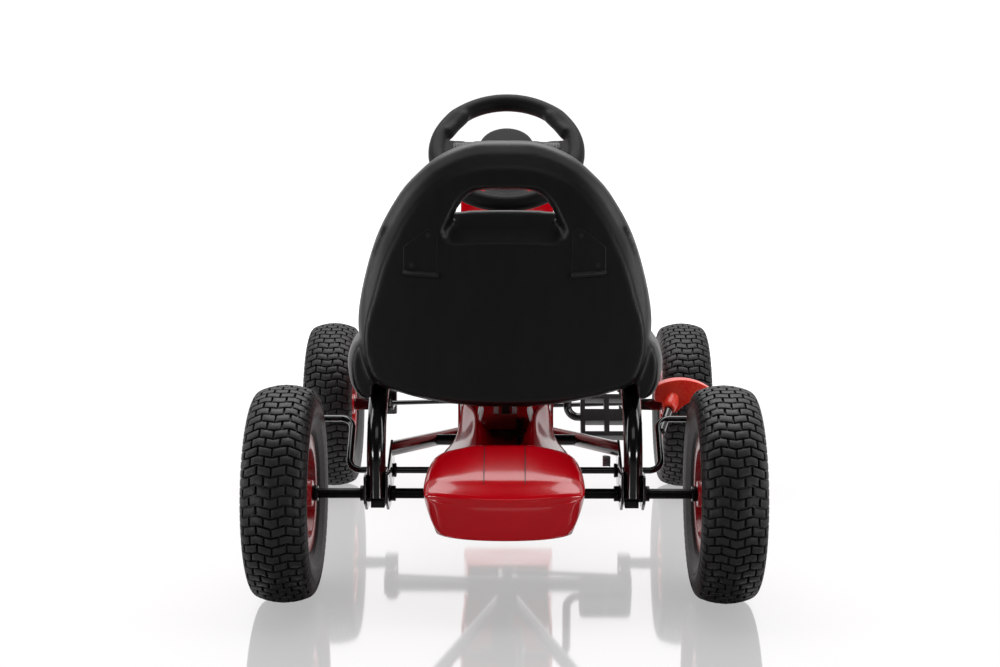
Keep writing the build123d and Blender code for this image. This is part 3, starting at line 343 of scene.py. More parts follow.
def tyre_mesh():
    """The whole tyre: carcass with ringed side walls, tread blocks, and the vent hairs left by moulding."""
    base = [(x - n[0] * d, r - n[1] * d) for (x, r), n, d in (
        (*along_skin(s), tread_depth if abs(s) < 34 else tread_depth * 0.4) for s in range(-46, 47, 4)
    )]
    wall = [
        (36.9, 104), (36.2, 96), (35.9, 95), (36.1, 94), (34.4, 86), (33.9, 85), (33.9, 84), (30.5, 77),
        (30.6, 75.6), (27.4, 71), (25.0, 69.5), (24.6, 61.2),
    ]
    profile = [(-x, r) for x, r in reversed(wall)] + base + wall + [(19.0, 61.2), (-19.0, 61.2)]
    points, faces = turned(profile, 96)
    for row in range(tread_rows):
        shift = block_width / 2 if row % 2 else 0.0
        edges = [shift + block_width * k for k in range(-3, 4)]
        edges = [e for e in edges if abs(e) < 36]
        spans = list(zip(edges, edges[1:]))
        spans = [(-45.5, edges[0])] + spans + [(edges[-1], 45.5)]
        for start, end in spans:
            more, sides = tread_block(start, end, row)
            faces += [tuple(i + len(points) for i in f) for f in sides]
            points += more
    chance = random.Random(4)
    for _ in range(90):
        angle = chance.uniform(0, 2 * pi)
        place, normal = along_skin(chance.choice((-1, 1)) * chance.uniform(8, 40))
        lean = chance.uniform(-0.5, 0.5)
        root = Vector(round_axle(place[0] - normal[0], place[1] - normal[1], angle))
        out = Vector(round_axle(normal[0], normal[1], angle)).normalized()
        tip = root + (out + Vector((lean * 0.3, -sin(angle) * lean, cos(angle) * lean))) * 0.0012
        across = Vector((0.0003, 0, 0))
        start = len(points)
        points += [tuple(root + across), tuple(root - across), tuple(root + across.cross(out)), tuple(tip)]
        faces += [tuple(start + i for i in f) for f in ((0, 1, 3), (1, 2, 3), (2, 0, 3), (0, 2, 1))]
    return points, faces


# Tyre rubber: carbon-black rubber straight from the mould, dull with a soft bloom and a fine grain.
tyre_rubber = finish_of(
    "moulded_tyre_rubber", "#0C0C0D", "#18181A", (0.42, 0.62), 1.4, 0.05, patch=25,
    **{"Specular IOR Level": 0.45},
)
# Moulded polypropylene rim: glossy red, slightly soft in its reflections.
red_rim = finish_of(
    "moulded_red_rim", "#A30615", "#C4101F", (0.22, 0.32), 1.6, 0.008,
    **{"Coat Weight": 0.25, "Coat Roughness": 0.15},
)
# Moulded cap: the same satin black plastic as the pedals.
satin_black = finish_of("moulded_satin_black", "#101011", "#1C1C1D", (0.34, 0.5), 1.0, 0.02)
tyre_points, tyre_faces = tyre_mesh()
shared_tyre = None
for place in ("rear", "front"):
    for side in ("left", "right"):
        low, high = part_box(f"{place}_tyre_{side}")
        if shared_tyre is None:
            tyre = new_piece(f"{place}_{side}_turf_tyre", tyre_points, tyre_faces, sharp=35)
            shared_tyre = tyre.data
        else:
            tyre = bpy.data.objects.new(f"{place}_{side}_turf_tyre", shared_tyre)
            bpy.context.scene.collection.objects.link(tyre)
        tyre.location = (low + high) / 2
        bpy.context.view_layer.update()
        body = frame["nodes"][f"{place}_tyre_{side}"]["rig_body"]
        shown_as(tyre, tyre_rubber, body, f"{place}_tyre_{side}")
        eased(f"{place}_rim_{side}", red_rim, 0.8)
        eased(f"{place}_hub_cap_{side}", satin_black, 0.5)
        dress(f"{place}_inner_tube_{side}", tyre_rubber)

        # The valve is a rubber-covered brass stem that stands out of the rim's well beside a spoke.
        stem = [
            (0, 0.1), (0, 3.2), (3, 3.6), (9, 2.9), (17, 2.6),
            (17.2, 3.3), (22, 3.3), (22.6, 2.6), (22.6, 0.1),
        ]
        points, faces = turned(stem, 16)
        outward = -1 if side == "left" else 1
        points = [(outward * (p[0] - 0.004), p[1], p[2] + 0.0495) for p in points]
        valve = new_piece(f"{place}_{side}_valve", points, faces)
        valve.location = (low + high) / 2
        bpy.context.view_layer.update()
        shown_as(valve, satin_black, body)

# ---------------------------------------------------------------- seat
# The seat is one blow-moulded polyethylene shell: a flat back with a rolled rim and a hand hole, a bucket
# pan and side wings that wrap over the hoops. Its walls blend into each other with soft radii.
def smooth_loop(right_half, count):
    """A closed outline through its right half's points and their mirror images, from the top clockwise."""
    corners = list(right_half) + [(-x, z) for x, z in reversed(right_half) if x]
    dense = []
    total = len(corners)
    for i in range(total):
        p = [Vector(corners[(i + k) % total]) for k in (-1, 0, 1, 2)]
        for step in range(12):
            t = step / 12
            dense.append(0.5 * (
                2 * p[1] + (p[2] - p[0]) * t + (2 * p[0] - 5 * p[1] + 4 * p[2] - p[3]) * t * t
                + (3 * p[1] - p[0] - 3 * p[2] + p[3]) * t * t * t
            ))
    lengths = [0.0]
    for a, b in zip(dense, dense[1:] + dense[:1]):
        lengths.append(lengths[-1] + (b - a).length)
    loop = []
    k = 0
    for i in range(count):
        target = lengths[-1] * i / count
        while lengths[k + 1] < target:
            k += 1
        share = (target - lengths[k]) / max(lengths[k + 1] - lengths[k], 1e-9)
        loop.append(dense[k].lerp(dense[(k + 1) % len(dense)], share))
    return loop


def joined_rings(rings, closed):
    """Faces between rings of equal count, closed on themselves or capped at both ends."""
    count = len(rings[0])
    points = [p for ring in rings for p in ring]
    faces = []
    for r in range(len(rings) if closed else len(rings) - 1):
        n = (r + 1) % len(rings)
        for i in range(count):
            j = (i + 1) % count
            faces.append((r * count + i, r * count + j, n * count + j, n * count + i))
    if not closed:
        faces += [tuple(range(count)), tuple(range(len(points) - 1, len(points) - count - 1, -1))]
    return points, faces


def blended(name, bodies, voxel, passes):
    """Several closed bodies grown together into one moulding, with soft radii where they meet."""
    points, faces = [], []
    for more, sides in bodies:
        faces += [tuple(i + len(points) for i in f) for f in sides]
        points += more
    rough = new_piece(name + "_raw", points, faces)
    union = rough.modifiers.new("union", "REMESH")
    union.mode = "VOXEL"
    union.voxel_size = voxel / 1000
    soften = rough.modifiers.new("soften", "SMOOTH")
    soften.factor = 0.5
    soften.iterations = passes
    bpy.context.view_layer.update()
    shaped = rough.evaluated_get(bpy.context.evaluated_depsgraph_get())
    mesh = bpy.data.meshes.new_from_object(shaped)
    bpy.data.objects.remove(rough)
    mesh.name = name
    mesh.shade_smooth()
    piece = bpy.data.objects.new(name, mesh)
    bpy.context.scene.collection.objects.link(piece)
    return piece


# Right halves of three outlines of the back, as (right, above the ground) points from the top: its edge, the
# inner line of its rolled rim, and the hand hole.
seat_outline = [
    (0, 537), (32, 536), (57, 529), (80, 517), (99, 501), (117, 482), (134, 456), (147, 430), (158, 397),
    (167, 358), (170, 328), (167, 302), (160, 275), (149, 256), (122, 246), (87, 238), (47, 233), (0, 231),
]
band_outline = [
    (0, 506), (30, 504), (58, 496), (78, 486), (97, 469), (114, 445), (128, 417), (139, 392), (150, 355),
    (158, 330), (161, 303), (156, 278), (146, 261), (120, 251), (87, 243), (47, 238), (0, 236),
]
hand_outline = [
    (0, 484), (22, 484), (41, 480), (56, 466), (66, 446),
    (71, 434), (66, 423), (50, 419), (25, 420), (0, 421),
]
ring_count = 160
outline = smooth_loop(seat_outline, ring_count)
band = smooth_loop(band_outline, ring_count)
hand = smooth_loop(hand_outline, ring_count)


def back_ring(loop, ahead):
    """A ring of the back from an outline, at a place ahead of the rear axle."""
    return [at(p.x, ahead, p.y) for p in loop]


face_back, face_front = -20, -11
back_shell = joined_rings([
    back_ring(hand, face_back),
    back_ring([a.lerp(b, 0.5) for a, b in zip(hand, band)], face_back),
    back_ring(band, face_back + 0.6),
    back_ring([a.lerp(b, 0.5) for a, b in zip(band, outline)], -12),
    back_ring([a.lerp(b, 0.88) for a, b in zip(band, outline)], -3),
    back_ring(outline, 5),
    back_ring([a.lerp(b, 0.02) for a, b in zip(outline, band)], 13),
    back_ring([a.lerp(Vector((0, 360)), 0.035) for a in outline], 14),
    back_ring([a.lerp(Vector((0, 360)), 0.06) for a in outline], 10),
    back_ring([a.lerp(b, 0.55).lerp(Vector((0, 360)), 0.05) for a, b in zip(outline, band)], -4),
    back_ring([a.lerp(Vector((0, 360)), 0.06) for a in band], face_front),
    back_ring([a.lerp(b, 0.5) for a, b in zip(hand, band)], face_front),
    back_ring([p.lerp(Vector((0, 452)), 0.12) for p in hand], face_front + 4),
], closed=True)

# The back bulges forward under the hand hole, so fingers find a rounded edge: (ahead, above the ground).
scoop_profile = [
    (-20, 408), (-20, 421), (-9, 436), (2, 455), (7, 459), (12, 452), (11, 420), (2, 396), (-12, 380),
]
scoop = joined_rings(
    [[at(x, a, z - 0.0006 * x * x) for a, z in scoop_profile] for x in range(-64, 65, 8)], closed=False,
)

# The pan is one section run forward: its floor, and the wings that wrap over the hoops.
pan_outline = [
    (0, 241), (50, 243), (86, 247), (112, 253), (126, 263), (134, 273), (147, 276), (160, 279), (166, 290),
    (168, 304), (173, 309), (180, 304), (185, 292), (187, 277), (184, 258), (176, 244), (166, 240),
    (161, 247), (160, 259.6), (147, 259.8), (134, 259.6), (131, 252), (122, 246), (87, 238), (47, 233),
    (0, 231),
]
pan_loop = smooth_loop(pan_outline, 220)
pan_stations = (
    (-13, 0.94, 0), (0, 0.97, 0), (30, 0.99, 0), (70, 1.0, 0), (120, 1.0, 0), (200, 1.0, 0),
    (262, 0.995, 0), (280, 0.985, -1), (289, 0.965, -3),
)
pan_rings = []
for ahead, grow, lift in pan_stations:
    ring = []
    for p in pan_loop:
        keep = Vector((p.x * grow, 262 + (p.y - 262) * (grow if ahead > 250 else 1.0) + lift))
        ring.append(at(keep.x, ahead, keep.y))
    pan_rings.append(ring)
pan = joined_rings(pan_rings, closed=False)

# Two bolsters join the back to the pan's sides.
bolsters = []
for side in (-1, 1):
    rings = []
    for z in range(280, 441, 10):
        half = max(p.x for p in outline if abs(p.y - z) < 9) - 4
        front = 10 + 150 * max(0.0, (440 - z) / 160) ** 1.6
        thick = 15
        rings.append([
            at(side * half, -8, z), at(side * half, front - 6, z), at(side * (half - thick / 2), front, z),
            at(side * (half - thick), front - 6, z), at(side * (half - thick), -8, z),
        ])
    bolsters.append(joined_rings(rings, closed=False))

seat = blended("seat_moulding", [back_shell, scoop, pan, *bolsters], 2.8, 5)

# Blow-moulded polyethylene: near-black and satin, with faint upright draw marks from the mould.
blow_moulded = finish_of(
    "blow_moulded_polyethylene", "#050506", "#0A0A0B", (0.34, 0.44), 1.5, 0.012, patch=30,
    stretch=(1, 1, 0.04), **{"Specular IOR Level": 0.4},
)
shown_as(seat, blow_moulded, "frame", "seat_shell")

# Two bracket pads are moulded proud of the back. Each has two blind holes and a small ledge at its foot.
for side in (-1, 1):
    pad = [(115, 417), (88, 437), (83, 438), (77, 434), (76, 383), (115, 386)]
    rings = []
    for ahead, inset in ((face_back + 1.5, 0.0), (face_back - 0.7, 0.0), (face_back - 1.1, 0.5)):
        centre = Vector((96, 408))
        ring = []
        for x, z in pad:
            toward = (centre - Vector((x, z))).normalized() * inset
            ring.append(at(side * (x + toward.x), ahead, z + toward.y))
        rings.append(ring)
    points, faces = joined_rings(rings, closed=False)
    shown_as(new_piece(f"seat_pad_{'left' if side < 0 else 'right'}", points, faces), blow_moulded, "frame")
    ledge_section = ((0.5, 387), (-1.5, 387.5), (-6.4, 384.2), (-5.2, 381.6), (0.5, 380))
    ledge = [
        [at(side * x, face_back + a, z + (x - 76) * 0.08) for a, z in ledge_section]
        for x in (75, 76.5, 114.5, 116)
    ]
    points, faces = joined_rings(ledge, closed=False)
    shown_as(new_piece(f"seat_ledge_{'left' if side < 0 else 'right'}", points, faces), blow_moulded, "frame")
    for number, (x, z) in enumerate(((87, 430), (106, 396))):
        lip = [(-0.2, 0.05), (-0.2, 1.7), (0.55, 2.6), (1.3, 2.9), (1.3, 0.05)]
        points, faces = turned([(-a, r) for a, r in lip], 20)
        spin = Matrix.Translation(at(side * x, face_back - 1.1, z)) @ Matrix.Rotation(pi / 2, 4, "Z")
        points = [spin @ Vector(p) for p in points]
        name = f"seat_pad_hole_{'left' if side < 0 else 'right'}_{number}"
        shown_as(new_piece(name, points, faces), moulded_nylon, "frame")

# ---------------------------------------------------------------- red covers
# The tail, tunnel, column cowl and nose are thin injection-moulded ABS covers, screwed or clipped to the
# frame. The plastic is coloured through and polished by the mould, with moulded-in seams between its parts.
red_abs = finish_of(
    "polished_red_abs", "#C40010", "#D40016", (0.12, 0.2), 2.2, 0.005, patch=60,
    **{"Coat Weight": 0.5, "Coat Roughness": 0.05, "Specular IOR Level": 0.5},
)
cover_shapes = {}
for node in ("tunnel_cover", "steering_cowl", "nose_cone"):
    cover_shapes[node] = eased(node, red_abs, 1.4, segments=3, sharp=18)

# The tail cover is one deep shell. Its rear is a pod with a crease round it, its underside is open, and two
# flanks rise from its shoulders to the tunnel, with a valley between them.
tail_sections = (
    (-111, (
        (0, 136), (44, 136.5), (70, 138.5), (80, 140.5), (87, 143), (86.5, 146), (60, 144), (36, 143),
        (30, 143), (24, 142.6), (0, 142),
    )),
    (-110, (
        (0, 132), (44, 132.5), (72, 134.5), (82, 138.5), (90.5, 144), (88, 149), (60, 147), (36, 146),
        (30, 146), (24, 145.6), (0, 145),
    )),
    (-95, (
        (0, 95), (48, 96), (74, 99), (84, 118), (92, 146.5), (89, 158), (60, 159), (36, 159),
        (30, 159), (24, 159), (0, 159),
    )),
    (-93, (
        (0, 92.5), (48, 93.5), (76, 97.5), (85, 119), (92.5, 147), (89, 160), (60, 162), (36, 162),
        (30, 162), (24, 162), (0, 162),
    )),
    (-72, (
        (0, 92.5), (49, 93.5), (78, 97.5), (86.5, 120), (93, 150), (87, 170), (60, 174.5), (36, 176),
        (30, 176), (24, 176), (0, 176),
    )),
    (-44, (
        (0, 93), (50, 94), (78, 98), (87, 120), (92, 150), (82.5, 181), (60, 188), (36, 193),
        (30, 193.6), (24, 194), (0, 194.5),
    )),
    (-37, (
        (0, 93), (50, 94), (78, 98), (87, 120), (91.5, 150), (80, 179), (58, 186), (36, 191),
        (30, 191.5), (24, 191), (0, 191),
    )),
    (-26, (
        (0, 95), (50, 96), (76, 99), (85, 121), (90, 150), (79, 170), (57, 176), (36, 178), (30, 178),
        (23, 174), (0, 174),
    )),
    (10, (
        (0, 98), (46, 99), (72, 102), (82, 126), (88, 151), (77, 161), (56, 166), (38, 169), (30, 170),
        (23, 165), (0, 165),
    )),
    (60, (
        (0, 112), (38, 113), (64, 117), (76, 135), (84, 152), (73, 160), (54, 169), (40, 182),
        (32, 196), (24, 168), (0, 164),
    )),
    (105, (
        (0, 146), (36, 147), (62, 149), (72, 151), (80, 155.5), (70, 162), (51, 176), (40, 194),
        (33, 221), (25, 172), (0, 164),
    )),
    (135, (
        (0, 148), (34, 149), (54, 150), (62, 151), (68, 155), (63, 166), (56, 184), (51, 202),
        (46, 222), (28, 176), (0, 165),
    )),
    (156, (
        (0, 149), (32, 150), (50, 151), (56, 152), (61, 156), (60, 170), (58, 188), (57, 204),
        (52, 219), (30, 178), (0, 165),
    )),
    (167, (
        (0, 150), (30, 151), (46, 152), (52, 153), (56, 157), (56, 170), (56, 188), (54, 204),
        (48, 217), (30, 178), (0, 165),
    )),
)


def subdivided(name, points, faces, levels, wall=0.0):
    """A smooth piece from a coarse net, with a wall behind its skin where one is given in mm."""
    rough = new_piece(name + "_net", points, faces)
    smooth = rough.modifiers.new("smooth", "SUBSURF")
    smooth.levels = levels
    if wall:
        thick = rough.modifiers.new("wall", "SOLIDIFY")
        thick.thickness = wall / 1000
        thick.offset = -1
    bpy.context.view_layer.update()
    shaped = rough.evaluated_get(bpy.context.evaluated_depsgraph_get())
    mesh = bpy.data.meshes.new_from_object(shaped)
    bpy.data.objects.remove(rough)
    mesh.name = name
    mesh.shade_smooth()
    piece = bpy.data.objects.new(name, mesh)
    bpy.context.scene.collection.objects.link(piece)
    return piece


def tail_place(x, ahead, z):
    """A place on the tail's net: its rear stations bow forward towards the sides."""
    bow = 15 * max(0.0, min(1.0, (20 - ahead) / 100))
    return at(x, ahead + bow * (abs(x) / 90) ** 3, z)


# The upper net runs over every station, and the four rear stations also close round the underside.
tail_points, tail_faces = [], []
for ahead, half in tail_sections:
    section = [(-x, z) for x, z in half[2:]] + [(x, z) for x, z in reversed(half[2:-1])]
    tail_points += [tail_place(x, ahead, z) for x, z in section]
across = len(section)
for row in range(len(tail_sections) - 1):
    for i in range(across - 1):
        here, beyond = row * across + i, (row + 1) * across + i
        tail_faces.append((here, here + 1, beyond + 1, beyond))
rear_rows = []
for row in range(4):
    ahead, half = tail_sections[row]
    base = len(tail_points)
    tail_points += [tail_place(x, ahead, z) for x, z in ((-half[1][0], half[1][1]), half[0], half[1])]
    rear_rows.append([row * across, base, base + 1, base + 2, row * across + across - 1])
for low, high in zip(rear_rows, rear_rows[1:]):
    for i in range(4):
        tail_faces.append((low[i], high[i], high[i + 1], low[i + 1]))
tip = rear_rows[0]
tail_faces += [
    (tip[0], tip[1], 4, 3, 2, 1), (tip[1], tip[2], 8, 7, 6, 5, 4),
    (tip[2], tip[3], 12, 11, 10, 9, 8), (tip[3], tip[4], 15, 14, 13, 12),
]
tail_shell = subdivided("tail_shell", tail_points, tail_faces, levels=2, wall=3.0)
cover_shapes["tail_shell"] = shown_as(tail_shell, red_abs, "frame", "tail_cover")

# The tunnel's rear end is a rounded block that stands over the valley, with a black latch under it.
block_outline = [
    (-43, 219), (-44, 200), (-44, 183), (-42.5, 177.5), (-38, 174.5), (-20, 172.6), (0, 172), (20, 172.6),
    (38, 174.5), (42.5, 177.5), (44, 183), (44, 200), (43, 219),
]
block_rings = [[at(x * grow, ahead, 200 + (z - 200) * grow) for x, z in block_outline]
               for ahead, grow in ((166, 1.0), (152.5, 1.0), (150.6, 0.985), (150, 0.95))]
points, faces = joined_rings(block_rings, closed=False)
cover_shapes["tunnel_block"] = shown_as(new_piece("tunnel_block", points, faces, sharp=50), red_abs, "frame")
latch_outline = ((-19, 176), (-19, 166), (19, 166), (19, 176))
latch_rings = [
    [at(x * grow, ahead, 170 + (z - 170) * grow) for x, z in latch_outline]
    for ahead, grow in ((158, 1.0), (146, 1.0), (145, 0.9))
]
points, faces = joined_rings(latch_rings, closed=False)
shown_as(new_piece("tunnel_latch", points, faces), satin_black, "frame")

# Vinyl stripes are die-cut white and black film, pressed on the covers by hand. Film is very thin and even,
# so it only shows as a clean edge and a duller gloss than the plastic under it.
white_film = finish_of("white_vinyl_film", "#E9E9EA", "#F6F6F6", (0.3, 0.42), 1.1, 0.01)
black_film = finish_of("black_vinyl_film", "#0B0B0C", "#141415", (0.3, 0.42), 1.1, 0.01)
film_thickness = 0.00035


def film(name, node, left, right, material, start=-30, steps=24, columns=5):
    """A strip of film pressed on a cover between two edges of (x, z) points, seen from behind the start."""
    grid = []
    bpy.context.view_layer.update()
    for k in range(steps + 1):
        ends = []
        for side in (left, right):
            t = k / steps * (len(side) - 1)
            i = min(int(t), len(side) - 2)
            ends.append(Vector(side[i]).lerp(Vector(side[i + 1]), t - i))
        for c in range(columns + 1):
            x, z = ends[0].lerp(ends[1], c / columns)
            _, place, normal, _ = cover_shapes[node].ray_cast(at(x, start, z), Vector((0, 1, 0)))
            grid.append(place + normal * film_thickness)
    wide = columns + 1
    faces = [(k * wide + c, k * wide + c + 1, (k + 1) * wide + c + 1, (k + 1) * wide + c)
             for k in range(steps) for c in range(columns)]
    return shown_as(new_piece(name, grid, faces), material, "frame")


# A white stripe runs up each flank: how far ahead, then its outer and its inner edge at that station.
stripe_edges = (
    (62, (78, 156), (46, 163)), (70, (68, 161), (43, 165)), (78, (58, 167), (41, 169)),
    (86, (50, 174), (38.5, 175)), (93, (43, 183), (35, 183)), (98, (38, 193), (31, 192)),
    (102, (34.5, 203), (27.5, 202)), (104, (32.5, 214), (25.5, 213)),
)
for side in (-1, 1):
    grid = []
    for ahead, outer, inner in stripe_edges:
        for t in (0, 0.06, 0.5, 1):
            x, z = Vector(outer).lerp(Vector(inner), t)
            grid.append(at(side * x, ahead - 8 * sin(pi * t), z))
    corners = [r * 4 + c for r in range(len(stripe_edges) - 1) for c in range(3)]
    faces = [(i, i + 1, i + 5, i + 4) for i in corners]
    stripe = subdivided(f"flank_stripe_{'left' if side < 0 else 'right'}", grid, faces, levels=2, wall=0.4)
    shown_as(stripe, white_film, "frame")
block_stripes = (("left", -15, -9, white_film), ("middle", -5, 5, black_film), ("right", 8, 14, white_film))
for name, low_x, high_x, material in block_stripes:
    film(
        f"block_stripe_{name}", "tunnel_block", [(low_x, 196), (low_x, 214)], [(high_x, 196), (high_x, 214)],
        material, steps=2, columns=1,
    )

# Thin dark seams run down the pod from the valley to the crease, where its middle panel was welded in.
for side in (-1, 1):
    seam = [(side * 23, z) for z in (158, 165, 175, 185, 194)]
    film(
        f"tail_seam_{'left' if side < 0 else 'right'}", "tail_shell", seam, [(x + 0.9, z) for x, z in seam],
        black_film, start=-400, steps=16, columns=1,
    )

# ---------------------------------------------------------------- steering wheel
# The steering wheel is one polypropylene moulding: a fat rim with thumb rests, two side spokes with toy
# switches and a lower spoke with a panel. It is screwed on the column under a separate round pad.
column = next(j for j in frame["joints"] if j["name"] == "steering_turn")
toward_driver = Vector(column["axis"]).normalized()
up_wheel = toward_driver.cross(Vector((1, 0, 0))).normalized() * -1
up_wheel = up_wheel if up_wheel.z > 0 else -up_wheel
wheel_low, wheel_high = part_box("steering_wheel")
wheel_middle = (wheel_low + wheel_high) / 2


def on_wheel(across, up, proud):
    """A place on the steering wheel: right, up its plane, and towards the driver, in mm from its middle."""
    return wheel_middle + (Vector((1, 0, 0)) * across + up_wheel * up + toward_driver * proud) / 1000


def swept(path, radii, sides=14, closed=False):
    """A round bar along a path of places in metres, with a radius in mm at each."""
    rings = []
    turn_from = None
    for i, p in enumerate(path):
        ahead = path[(i + 1) % len(path)] if closed or i + 1 < len(path) else p
        behind = path[i - 1] if closed or i else p
        along = (ahead - behind).normalized()
        if turn_from is None:
            turn_from = along.orthogonal().normalized()
        turn_from = (turn_from - along * turn_from.dot(along)).normalized()
        side = along.cross(turn_from)
        rings.append([
            p + (turn_from * cos(2 * pi * k / sides) + side * sin(2 * pi * k / sides)) * radii[i] / 1000
            for k in range(sides)
        ])
    return joined_rings(rings, closed)


def slab(corners, low, high):
    """A flat piece of the wheel's plane between two heights, from its outline's (across, up) corners."""
    rings = [[on_wheel(x, y, proud) for x, y in corners] for proud in (low, high)]
    return joined_rings(rings, closed=False)


grip = 12.0
ring_across = (wheel_high.x - wheel_low.x) * 500 - grip
ring_up = ((wheel_high.z - wheel_low.z) * 500 - grip) / up_wheel.z
ring_path, ring_radii = [], []
for k in range(96):
    turn = 2 * pi * k / 96
    ring_path.append(on_wheel(ring_across * cos(turn), ring_up * sin(turn), 0))
    thumb = max(0.0, 1 - abs(abs(turn - pi / 2) - 0.82) / 0.26)
    ring_radii.append(grip + 0.9 * thumb ** 2 - 0.7 * max(0.0, -sin(turn)) ** 4)
wheel_bodies = [swept(ring_path, ring_radii, 20, closed=True)]
for side in (-1, 1):
    spoke = ((24, 17), (50, 14), (96, 20), (98, -12), (52, -13), (24, -18))
    wheel_bodies.append(slab([(side * x, y) for x, y in spoke], -6.5, 6.0))
    thumb_rest = [on_wheel(side * x, y, 3) for x, y in ((86, 26), (80, 33), (70, 48), (60, 66), (52, 80))]
    wheel_bodies.append(swept(thumb_rest, [7, 10, 8.5, 10, 6], 14))
wheel_bodies.append(slab([(-19, -18), (19, -18), (23, -60), (30, -96), (-30, -96), (-23, -60)], -6.5, 6.5))
wheel_bodies.append(slab([(30 * cos(2 * pi * k / 24), 30 * sin(2 * pi * k / 24)) for k in range(24)], -12, 8))
steering_wheel = blended("steering_wheel_moulding", wheel_bodies, 2.1, 5)
# Satin polypropylene: dark grey-black with a fine leather-like grain that spreads highlights.
grained_pp = finish_of(
    "grained_polypropylene", "#0A0A0B", "#101011", (0.46, 0.6), 1.3, 0.03, patch=30,
    **{"Specular IOR Level": 0.14},
)
shown_as(steering_wheel, grained_pp, "steering", "steering_wheel")
eased("steering_hub_pad", grained_pp, 5.0, segments=4)

for side in (-1, 1):
    hand_name = "left" if side < 0 else "right"
    octagon = ((-0.8, -1), (0.8, -1), (1, -0.8), (1, 0.8), (0.8, 1), (-0.8, 1), (-1, 0.8), (-1, -0.8))
    switch = [(x * 10.5, y * 6.5) for x, y in octagon]
    rings = [[on_wheel(side * 60 + x * grow, 2 + y * grow, proud) for x, y in switch]
             for grow, proud in ((1.15, 4.5), (1.12, 7.0), (0.98, 8.4), (0.9, 8.7))]
    points, faces = joined_rings(rings, closed=False)
    for k in range(5):
        rib = [on_wheel(side * 60 - 8 + 4 * k, 2 + up, 8.6) for up in (-4.6, -2.3, 0, 2.3, 4.6)]
        more, sides = swept(rib, [0.6, 1.1, 1.1, 1.1, 0.6], 8)
        faces += [tuple(i + len(points) for i in f) for f in sides]
        points += more
    shown_as(new_piece(f"wheel_switch_{hand_name}", points, faces), satin_black, "steering")
panel = [(-13, -42), (13, -42), (16, -76), (-16, -76)]
middle_of_panel = Vector((0, -59))
rings = [[on_wheel(*middle_of_panel.lerp(Vector(c), grow), proud) for c in panel]
         for grow, proud in ((1.0, 5.0), (1.0, 7.6), (0.92, 8.2), (0.9, 7.4), (0.88, 7.2))]
points, faces = joined_rings(rings, closed=False)
line = swept([on_wheel(0, up, 7.2) for up in (-46, -56, -66, -73)], [0.8, 1.0, 1.0, 0.8], 8)
faces += [tuple(i + len(points) for i in f) for f in line[1]]
points += line[0]
shown_as(new_piece("wheel_spoke_panel", points, faces), satin_black, "steering")

# ---------------------------------------------------------------- pedals
# Each pedal is a black polypropylene block, moulded in two slotted halves round its spindle barrel. Its
# treads have rows of small grip teeth.
for side in ("left", "right"):
    eased(f"pedal_{side}", satin_black, 2.4, segments=4)

# ---------------------------------------------------------------- hand brake
# The brake grip is a red-orange moulding, pushed over the lever's end, with a round boss where the rod goes
# in. The polyethylene is slightly see-through, so its thin edges glow where light passes.
translucent_red = finish_of(
    "translucent_red_polyethylene", "#F2281A", "#FF4630", (0.22, 0.34), 1.4, 0.012, patch=18,
    **{"Subsurface Weight": 0.2, "Subsurface Scale": 0.004},
)
eased("brake_grip", translucent_red, 3.2, segments=4)
rod_low, rod_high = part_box("brake_lever")
rod_end = Vector((rod_high.x - 0.0052, rod_high.y - 0.003, rod_high.z - 0.004))
rod_start = Vector((rod_low.x + 0.003, rod_low.y, rod_low.z + 0.004))
boss = [rod_start.lerp(rod_end, t) for t in (0.6, 0.62, 0.66, 0.8, 0.95)]
points, faces = swept(boss, [7.0, 8.0, 8.6, 9.4, 9.0], 20)
shown_as(new_piece("brake_grip_boss", points, faces, sharp=50), translucent_red, "brake_lever_set")

# The return spring is zinc-plated wire wound in a close coil beside the inner cheek.
spring_low, spring_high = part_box("brake_spring")
wire = 0.85
coils = 6.5
coil_radius = (spring_high.x - spring_low.x) * 500 - wire
spring_middle = (spring_low + spring_high) / 2
coil = []
for k in range(int(coils * 20) + 1):
    turn = 2 * pi * k / 20
    rise = (k / (coils * 20) - 0.5) * ((spring_high.z - spring_low.z) * 1000 - 2 * wire)
    coil.append(spring_middle + Vector((coil_radius * cos(turn), coil_radius * sin(turn), rise)) / 1000)
points, faces = swept(coil, [wire] * len(coil), 8)
shown_as(new_piece("brake_return_spring", points, faces), zinc_plate, "frame", "brake_spring")

# ---------------------------------------------------------------- studio
# The kart stands on a white, slightly glossy sheet in a white room. One large soft light hangs over it, two
# tall ones stand at its sides, and three weak ones, two of them low, lift the side that faces the camera.
floor_mesh = bpy.data.meshes.new("studio_floor")
floor_mesh.from_pydata([(-9, -9, 0), (9, -9, 0), (9, 14, 0), (-9, 14, 0)], [], [(0, 1, 2, 3)])
floor = bpy.data.objects.new("studio_floor", floor_mesh)
bpy.context.scene.collection.objects.link(floor)
# White acrylic sheet: it mirrors the kart faintly, and its emission is painted light standing in for the
# room's light on it, so no edge shows. Seen straight on it glows dimmer near the kart.
white_sheet = bpy.data.materials.new("white_acrylic_sheet")
white_sheet.use_nodes = True
tree = white_sheet.node_tree
tree.nodes.clear()
place = add_node(tree, "TexCoord").outputs["Object"]
distance = add_node(tree, "VectorMath", {0: place}, operation="LENGTH").outputs["Value"]
straight_on = add_node(tree, "LightPath").outputs["Is Camera Ray"]
far_glow = add_node(
    tree, "MapRange", {"Value": distance, "From Min": 0.8, "From Max": 2.2, "To Min": 0.42, "To Max": 1.0},
).outputs["Result"]
side = add_node(tree, "SeparateXYZ", {"Vector": place}).outputs["Y"]
# Painted shade: the glow that the kart catches and mirrors fades out towards the camera side.
shaded_off_camera_glow = add_node(
    tree, "MapRange", {"Value": side, "From Min": -0.45, "From Max": 0.5, "To Min": 0.0, "To Max": 0.5},
).outputs["Result"]
glow = add_node(
    tree, "Mix", {"Factor": straight_on, "A": shaded_off_camera_glow, "B": far_glow}, data_type="FLOAT",
).outputs["Result"]
